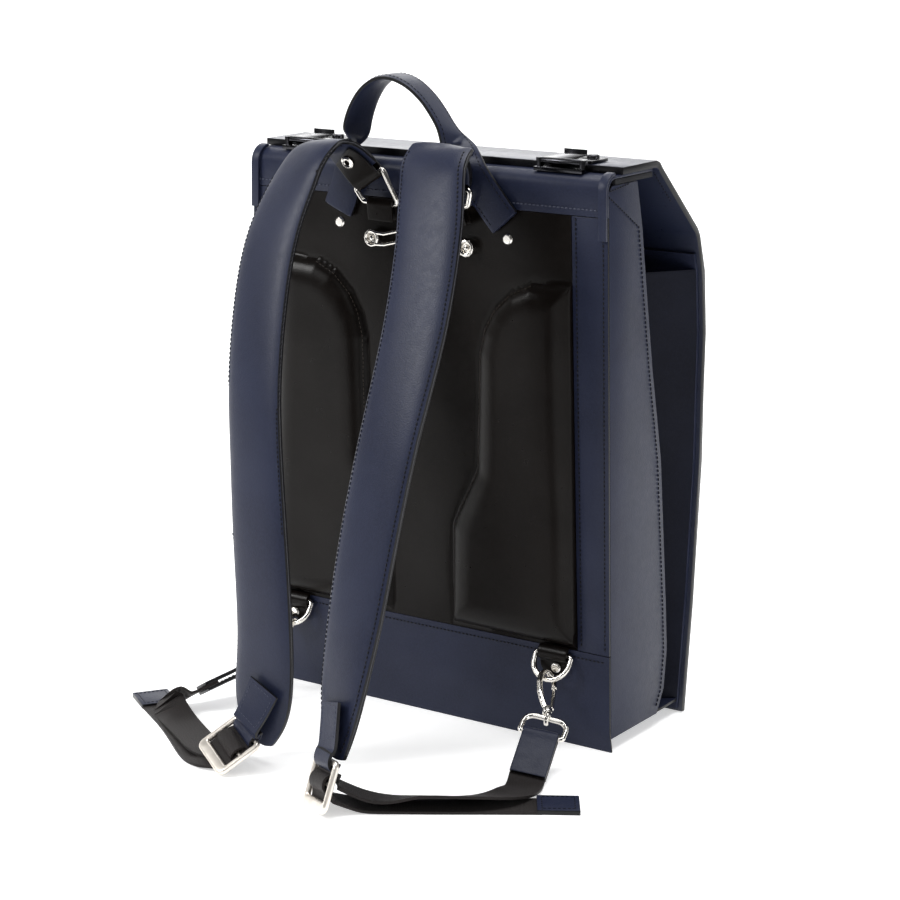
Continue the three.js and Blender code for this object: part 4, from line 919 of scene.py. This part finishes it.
@dataclass
class Straps:
    """Both padded shoulder straps with their top tabs, end patches, webbing, tips and tabs."""

    hem: float = 3.2 * MM
    lift: float = 0.1 * MM
    toward: Vector = field(default_factory=lambda: Vector((0.0, -1.0, 0.3)))
    patch_hem: float = 2.4 * MM
    patch_rows: int = 5
    tip_cover: float = 3.5 * MM
    edge_extra: float = 0.6 * MM
    tuck_reach: float = 23 * MM
    tuck_half: float = 13 * MM
    tuck_depth: float = 6.5 * MM
    pieces: dict[str, bpy.types.Object] = field(default_factory=dict)

    def build(self) -> None:
        """Builds both straps and what hangs on them."""
        for side in SIDES:
            self._strap(side)
            self._leathers(side)
            Dressing(f"webbing_{side}", f"webbing_{side}_woven", Slot.WEBBING, Form.SOFT, bevel=0.25 * MM,
                     levels=1, grow=0.15 * MM).build(lambda piece: self._tuck(piece, side))

    def _strap(self, side: str) -> None:
        """Builds one padded strap with a row of stitches along each edge."""
        node = f"shoulder_strap_{side}"
        near, far = face_lines(node, self.toward)
        walls = rails(node)
        strap = Dressing(node, f"shoulder_strap_{side}_padded", Slot.NAVY, Form.SOFT, bevel=0.0, levels=3,
                         edge="edge_paint", edge_limit=3.5 * MM, crease=0.85, grow=0.2 * MM).build(
                             lambda piece: widen_walls(piece, 3.5 * MM, self.edge_extra))
        self.pieces[node] = strap
        rows = [trim(inset_line(near, far, self.hem), 6 * MM, 6 * MM),
                trim(inset_line(far, near, self.hem), 6 * MM, 6 * MM)]
        Seam().sew([onto(strap, row, self.lift) for row in rows], f"shoulder_strap_{side}_stitches")
        for name, pair in (("inner", walls[:2]), ("outer", walls[2:])):
            middle = trim([(a + b) / 2 for a, b in zip(*pair)], 4 * MM, 4 * MM)
            cord_along(onto(strap, middle, 0.0), 0.3 * MM, f"shoulder_strap_{side}_{name}_lining",
                       "edge_lining")

    def _leathers(self, side: str) -> None:
        """Builds the tab, end patch, webbing tip and webbing tab of one strap."""
        lines = face_lines(f"webbing_tab_{side}", self.toward)
        Dressing(f"strap_tab_{side}", f"strap_tab_{side}_leather", Slot.BLACK, Form.SOFT, bevel=0.35 * MM, levels=2,
                 edge="edge_paint", edge_limit=2.6 * MM, grow=0.2 * MM).build()
        tab = Dressing(f"webbing_tab_{side}", f"webbing_tab_{side}_leather", Slot.NAVY, Form.SOFT, bevel=0.35 * MM,
                       levels=2, edge="edge_paint", edge_limit=2.6 * MM, grow=0.35 * MM,
                       face="creased_leather").build()
        self._tab_border(tab, side, lines)
        self._patch(side)
        tip = Dressing(f"webbing_tip_{side}", f"webbing_tip_{side}_leather", Slot.NAVY, Form.PLATE,
                       bevel=0.5 * MM, edge="edge_paint", edge_limit=4 * MM, face="creased_leather").build()
        self._stretch_tip(tip, side)
        self._tip_border(tip, side)


    def _tuck(self, webbing: bpy.types.Object, side: str) -> None:
        """Keeps the webbing's folds inside its slide buckle.

        Args:
            webbing: The webbing's plain copy.
            side: The side that it is on.
        """
        buckle = BUCKLES[side]
        first, _, back = buckle.axes()
        middle = Vector(buckle.middle) * MM
        for vertex in webbing.data.vertices:
            offset = vertex.co - middle
            if offset.length > self.tuck_reach:
                continue
            across, behind = offset.dot(first), offset.dot(back)
            vertex.co += first * (min(max(across, -self.tuck_half), self.tuck_half) - across)
            vertex.co += back * (min(behind, self.tuck_depth) - behind)

    def _patch(self, side: str) -> None:
        """Dresses an end patch and sews a pale border on its face.

        Args:
            side: The side that it is on.
        """
        node = f"strap_end_patch_{side}"
        left, right = self._patch_lines(node)
        patch = Dressing(node, f"{node}_leather", Slot.NAVY, Form.SOFT, bevel=0.35 * MM, levels=2, edge="edge_paint",
                         edge_limit=2.6 * MM, grow=0.1 * MM, face="creased_leather").build()
        near, far = inset_line(left, right, self.patch_hem), inset_line(right, left, self.patch_hem)
        rows = [trim(line, self.patch_hem, self.patch_hem) for line in (near, far)]
        loop = [*rows[0], *rows[1][::-1], rows[0][0]]
        Seam(thread="pale_thread", thickness=0.55 * MM).sew([onto(patch, loop, 0.05 * MM)], f"{node}_stitches")

    def _patch_lines(self, node: str) -> list[list[Vector]]:
        """Both edge lines of an end patch's outer face, from its top to where it turns round the rail.

        Args:
            node: The CAD node's name.

        Returns:
            The two lines, point for point across from each other.
        """
        band = copy_of(node, "patch_reader")
        mesh = bmesh.new()
        mesh.from_mesh(band.data)
        bpy.data.objects.remove(band)
        bmesh.ops.remove_doubles(mesh, verts=mesh.verts, dist=0.01 * MM)
        mesh.normal_update()
        caps = [face for face in mesh.faces if face.normal.z > 0.8]
        cap = max(caps, key=lambda face: face.calc_center_median().z)
        corners = {v for face in mesh.faces if face.normal.dot(cap.normal) > 0.995
                   and (face.calc_center_median() - cap.calc_center_median()).length < 20 * MM
                   and abs((face.calc_center_median() - cap.calc_center_median()).dot(cap.normal)) < 0.2 * MM
                   for v in face.verts}
        outer = [min((v for v in corners if (v.co - end.co).length < 3 * MM), key=lambda v: v.co.y)
                 for end in (min(corners, key=lambda v: v.co.x), max(corners, key=lambda v: v.co.x))]
        lines = []
        for start in outer:
            line, here, way = [start.co.copy()], start, -cap.normal
            for _ in range(self.patch_rows):
                steps = [(e.other_vert(here), (e.other_vert(here).co - here.co).normalized()) for e in here.link_edges]
                here, way = max(steps, key=lambda step: step[1].dot(way))
                line.append(here.co.copy())
            lines.append(line)
        mesh.free()
        return lines

    def _tab_border(self, tab: bpy.types.Object, side: str, lines: tuple[list[Vector], list[Vector]]) -> None:
        """Sews a border on the face of a webbing tab.

        Args:
            tab: The finished tab.
            side: The side that it is on.
            lines: The edge lines of the tab's outer face, once around the fold.
        """
        near, far = lines
        view = Vector((0.55, -0.80, 0.24))
        half = len(near) // 2
        parts = (slice(1, half - 2), slice(half + 3, -1))
        part = max(parts, key=lambda part: sum((p.dot(view) for p in near[part]), 0.0) / len(near[part]))
        a = inset_line(near, far, 2.2 * MM)[part]
        b = inset_line(far, near, 2.2 * MM)[part]
        loop = a + b[::-1]
        loop.append(loop[0])
        Seam(thickness=0.8 * MM).sew([onto(tab, loop, 0.08 * MM)], f"webbing_tab_{side}_stitches")

    def _tip_border(self, tip: bpy.types.Object, side: str) -> None:
        """Sews a border on the face of a webbing's leather tip.

        Args:
            tip: The finished tip.
            side: The side that it is on.
        """
        top = max(vertex.co.z for vertex in tip.data.vertices)
        points = [vertex.co.copy() for vertex in tip.data.vertices if vertex.co.z > top - 0.05 * MM]
        middle = sum(points, Vector()) / len(points)
        corners: list[Vector] = []
        for point in sorted(points, key=lambda p: -(p - middle).length):
            if all((point - corner).length > 8 * MM for corner in corners):
                corners.append(point)
        corners = sorted(corners[:4], key=lambda p: atan2(p.y - middle.y, p.x - middle.x))
        loop = [corner.lerp(middle, 0.2) for corner in corners]
        loop.append(loop[0])
        Seam(thickness=0.7 * MM).sew([onto(tip, loop, 0.05 * MM)], f"webbing_tip_{side}_stitches")

    def _stretch_tip(self, tip: bpy.types.Object, side: str) -> None:
        """Draws a webbing's leather tip over the webbing's end.

        Args:
            tip: The finished tip.
            side: The side that it is on.
        """
        points = [vertex.co for vertex in tip.data.vertices]
        middle = sum(points, Vector()) / len(points)
        webbing = frame["nodes"][f"webbing_{side}"].data
        end = min((vertex.co for vertex in webbing.vertices), key=lambda co: (co - middle).length)
        near = [v.co.copy() for v in webbing.vertices if (v.co - middle).length < (end - middle).length + 4 * MM]
        course = (sum(near, Vector()) / len(near) - middle)
        course.z = 0.0
        course.normalize()
        for vertex in tip.data.vertices:
            if (vertex.co - middle).dot(course) > 0:
                vertex.co += course * self.tip_cover

@dataclass
class Handle:
    """The carrying handle, navy leather with its cut edges painted black."""

    hem: float = 2.6 * MM

    def build(self) -> None:
        """Builds the handle."""
        near, far = face_lines("handle", Vector((0, 0, 1)))
        handle = Dressing("handle", "handle_leather", Slot.NAVY, Form.SOFT, bevel=0.0, levels=3, crease=0.8,
                          edge="edge_paint", edge_limit=3.5 * MM, grow=0.1 * MM).build()
        rows = [trim(inset_line(near, far, self.hem), 4 * MM, 4 * MM),
                trim(inset_line(far, near, self.hem), 4 * MM, 4 * MM)]
        Seam(thickness=0.7 * MM).sew([onto(handle, row, 0.05 * MM) for row in rows], "handle_stitches")


@dataclass(frozen=True)
class Buckle:
    """A cast slide buckle: a rounded frame with a broad lip at its foot and a bar across."""

    middle: tuple[float, float, float]
    wide: tuple[float, float, float]
    down: tuple[float, float, float]
    width: float = 35 * MM
    height: float = 31.5 * MM
    rail: float = 3.0 * MM
    lip: float = 6.6 * MM
    corner: float = 4.6 * MM
    thickness: float = 3.0 * MM
    bar: float = 1.2 * MM
    bar_down: float = -1.4 * MM
    face: float = -1.0

    def axes(self) -> tuple[Vector, Vector, Vector]:
        """The headings of its width, of its height and of its back."""
        first = Vector(self.wide).normalized()
        second = Vector(self.down)
        second = (second - first * second.dot(first)).normalized()
        return first, second, first.cross(second)

    def build(self, node: str) -> bpy.types.Object:
        """Builds the buckle in its own plane and turns it into its place.

        Args:
            node: The CAD node that it stands for.

        Returns:
            The finished buckle.
        """
        turn = Matrix(self.axes()).transposed().to_4x4()
        deselect()
        bpy.ops.mesh.primitive_plane_add(size=1.0, location=(0, 0, 0))
        piece = bpy.context.active_object
        piece.name = f"{node}_metal"
        with editing(piece) as mesh:
            bpy.ops.mesh.select_all(action="SELECT")
            bpy.ops.transform.resize(value=(self.width, self.height, 1.0), center_override=(0, 0, 0))
            bpy.ops.mesh.bevel(offset=self.corner, segments=6, affect="VERTICES")
            bpy.ops.mesh.inset(thickness=self.rail)
            bpy.ops.transform.translate(value=(0, -(self.lip - self.rail) / 2, 0))
            bpy.ops.transform.resize(value=(1, self._opening(), 1), center_override=self._opening_middle())
            bpy.ops.mesh.delete(type="FACE")
            bpy.ops.mesh.select_all(action="SELECT")
            bpy.ops.mesh.extrude_region_move(TRANSFORM_OT_translate={"value": (0, 0, self.thickness)})
            bpy.ops.mesh.select_all(action="SELECT")
            bpy.ops.transform.translate(value=(0, 0, -self.thickness / 2))
            bpy.ops.mesh.normals_make_consistent(inside=False)
        modify(piece, "BEVEL", width=1.3 * MM, segments=5, limit_method="ANGLE", angle_limit=radians(60))
        modify(piece, "DISPLACE", strength=0.35 * MM, mid_level=0.0)
        bar = self._bar()
        activate(piece)
        bar.select_set(True)
        bpy.ops.object.join()
        with editing(piece):
            bpy.ops.mesh.select_all(action="SELECT")
            bpy.ops.mesh.normals_make_consistent(inside=False)
        piece.data.transform(Matrix.Translation(Vector(self.middle) * MM) @ turn)
        piece.data.materials.append(FINISHES["champagne_plate"])
        activate(piece)
        bpy.ops.object.shade_smooth_by_angle(angle=radians(40))
        settle(piece, node)
        self._webbing(node, turn)
        return piece

    def _webbing(self, node: str, turn: Matrix) -> None:
        """Fills the frame with the webbing that runs through it.

        Args:
            node: The buckle's CAD node.
            turn: The turn from the buckle's own plane to its place.
        """
        deselect()
        bpy.ops.mesh.primitive_grid_add(x_subdivisions=8, y_subdivisions=16, size=1.0, location=(0, 0, 0))
        web = bpy.context.active_object
        web.name = f"{node}_webbing"
        depth = self.height - self.rail - self.lip + 1.5 * MM
        for vertex in web.data.vertices:
            x, y, _ = vertex.co
            sag = 1.1 * MM * cos(2 * pi * abs(y))
            vertex.co = (x * (self.width - 2.6 * self.rail), y * depth - (self.lip - self.rail) / 2,
                         self.face * (sag - 1.2 * MM))
        modify(web, "SOLIDIFY", thickness=1.2 * MM, offset=0.0)
        web.data.transform(Matrix.Translation(Vector(self.middle) * MM) @ turn)
        web.data.materials.append(FINISHES["woven_webbing"])
        activate(web)
        bpy.ops.object.shade_smooth_by_angle(angle=radians(40))
        settle(web)

    def _opening(self) -> float:
        """The opening's height as a share of an even frame's."""
        return (self.height - self.rail - self.lip) / (self.height - 2 * self.rail)

    def _opening_middle(self) -> tuple[float, float, float]:
        """The opening's middle in the buckle's own plane."""
        return (0.0, -(self.lip - self.rail) / 2, 0.0)

    def _bar(self) -> bpy.types.Object:
        """Builds the bar that the webbing turns over."""
        deselect()
        bpy.ops.mesh.primitive_cylinder_add(vertices=16, radius=self.bar, depth=self.width - self.rail,
                                            location=(0, 0, 0))
        bar = bpy.context.active_object
        with editing(bar):
            bpy.ops.mesh.select_all(action="SELECT")
            bpy.ops.transform.rotate(value=pi / 2, orient_axis="Y", center_override=(0, 0, 0))
            bpy.ops.transform.translate(value=(0, self.bar_down, 0))
        return bar


BUCKLES = {
    "left": Buckle((-39, -153, 14.5), (0.855, -0.443, -0.261), (-0.513, -0.672, -0.537)),
    "right": Buckle((50, -177, 17), (0.831, -0.531, 0.169), (-0.057, -0.378, -0.921)),
}


@dataclass
class Hardware:
    """Every metal fitting and the small black leathers that hold them."""

    cast: tuple[str, ...] = ("snap_hook",)
    wires: tuple[str, ...] = ("strap_ring", "hook_loop", "d_ring", "hook_gate")
    turned: tuple[str, ...] = ("eyelet", "handle_rivet", "d_ring_rivet")
    latch: tuple[str, ...] = ("latch_base", "latch_hasp", "latch_lever")

    def build(self) -> None:
        """Builds the metal fittings and their leathers."""
        Dressing("hanger", "hanger_metal", Slot.NICKEL, Form.CAST, voxel=0.22 * MM, grow=0.15 * MM).build()
        for side, buckle in BUCKLES.items():
            buckle.build(f"slide_buckle_{side}")
        for side in SIDES:
            for node in self.cast:
                Dressing(f"{node}_{side}", f"{node}_{side}_metal", Slot.NICKEL, Form.CAST, voxel=0.22 * MM,
                         smoothing=30, grow=0.55 * MM).build()
            for node in self.wires:
                Dressing(f"{node}_{side}", f"{node}_{side}_metal", Slot.NICKEL, Form.CAST, voxel=0.22 * MM,
                         smoothing=30, grow=0.42 * MM).build()
            for node in self.turned:
                Dressing(f"{node}_{side}", f"{node}_{side}_metal", Slot.NICKEL, Form.SOFT, bevel=0.15 * MM,
                         levels=2).build()
            for node in self.latch:
                Dressing(f"{node}_{side}", f"{node}_{side}_metal", Slot.GUNMETAL, Form.PLATE,
                         bevel=0.3 * MM).build()
            for node in ("ring_loop", "d_ring_tab"):
                Dressing(f"{node}_{side}", f"{node}_{side}_leather", Slot.BLACK, Form.SOFT, bevel=0.3 * MM,
                         levels=2).build()


@dataclass
class Studio:
    """The pale sweep, the soft lights and the camera."""

    target: Vector = field(default_factory=lambda: Vector((-12.95, 50.0, 163.56)) * MM)
    distance: float = 1618.33 * MM
    azimuth: float = radians(34.25)
    elevation: float = radians(13.89)
    lens: float = 97.906
    sensor: float = 36.0
    glow: float = 0.5
    surround: float = 0.12

    def build(self) -> None:
        """Builds the sweep, the lights and the camera."""
        self._sweep()
        self._lights()
        self._camera()

    def _sweep(self) -> None:
        """A floor that curves up into a backdrop."""
        deselect()
        bpy.ops.mesh.primitive_plane_add(size=1.0, location=(0, 0, 0))
        floor = bpy.context.active_object
        floor.name = "studio_floor"
        with editing(floor, "EDGE") as mesh:
            bpy.ops.mesh.select_all(action="SELECT")
            bpy.ops.transform.resize(value=(12.0, 5.2, 1.0), center_override=(0, 0, 0))
            bpy.ops.mesh.select_all(action="DESELECT")
            mesh = bmesh.from_edit_mesh(floor.data)
            for edge in mesh.edges:
                edge.select = all(vertex.co.y > 2.5 for vertex in edge.verts)
            mesh.select_flush_mode()
            bpy.ops.mesh.extrude_region_move(TRANSFORM_OT_translate={"value": (0, 0, 4.0)})
            mesh = bmesh.from_edit_mesh(floor.data)
            for edge in mesh.edges:
                edge.select = all(vertex.co.y > 2.5 and vertex.co.z < 0.01 for vertex in edge.verts)
            mesh.select_flush_mode()
            bpy.ops.mesh.bevel(offset=1.4, segments=16)
            bpy.ops.mesh.select_all(action="SELECT")
            bpy.ops.transform.rotate(value=-self.azimuth, orient_axis="Z", center_override=(0, 0, 0))
        graph = Graph("studio_paper")
        paper = graph.finish((0.9, 0.9, 0.9), 0.9, Emission_Strength=self.glow, Specular_IOR_Level=0.1)
        graph.shader.inputs["Emission Color"].default_value = (1.0, 1.0, 1.0, 1.0)
        floor.data.materials.append(paper)
        activate(floor)
        bpy.ops.object.shade_smooth()

    def _lights(self) -> None:
        """Soft area lights and an even white surround."""
        world = bpy.context.scene.world or bpy.data.worlds.new("surround")
        bpy.context.scene.world = world
        world.use_nodes = True
        background = world.node_tree.nodes["Background"]
        background.inputs["Color"].default_value = (1.0, 1.0, 1.0, 1.0)
        background.inputs["Strength"].default_value = self.surround
        for name, place, size, power in (
            ("key_light", (-1.2, -1.3, 1.35), 0.6, 26.0),
            ("top_light", (0.1, 0.3, 2.2), 1.4, 44.0),
            ("side_light", (1.9, 0.1, 0.6), 0.8, 6.0),
            ("back_light", (-1.5, 2.1, 1.15), 1.2, 16.0),
            ("front_light", (0.7, -2.4, 2.0), 1.6, 12.0),
        ):
            light = bpy.data.lights.new(name, "AREA")
            light.energy = power
            light.size = size
            lamp = bpy.data.objects.new(name, light)
            bpy.context.scene.collection.objects.link(lamp)
            lamp.location = place
            aim = self.target - Vector(place)
            lamp.rotation_euler = aim.to_track_quat("-Z", "Y").to_euler()

    def _camera(self) -> None:
        """The camera at the photograph's angle."""
        back = Vector((sin(self.azimuth) * cos(self.elevation), -cos(self.azimuth) * cos(self.elevation),
                       sin(self.elevation)))
        camera = bpy.data.cameras.new("studio_camera")
        camera.lens = self.lens
        camera.sensor_width = self.sensor
        holder = bpy.data.objects.new("studio_camera", camera)
        bpy.context.scene.collection.objects.link(holder)
        holder.location = self.target + back * self.distance
        holder.rotation_euler = back.to_track_quat("Z", "Y").to_euler()
        bpy.context.scene.camera = holder
        bpy.context.scene.view_settings.view_transform = "Standard"


if __name__ == "__main__":
    main()
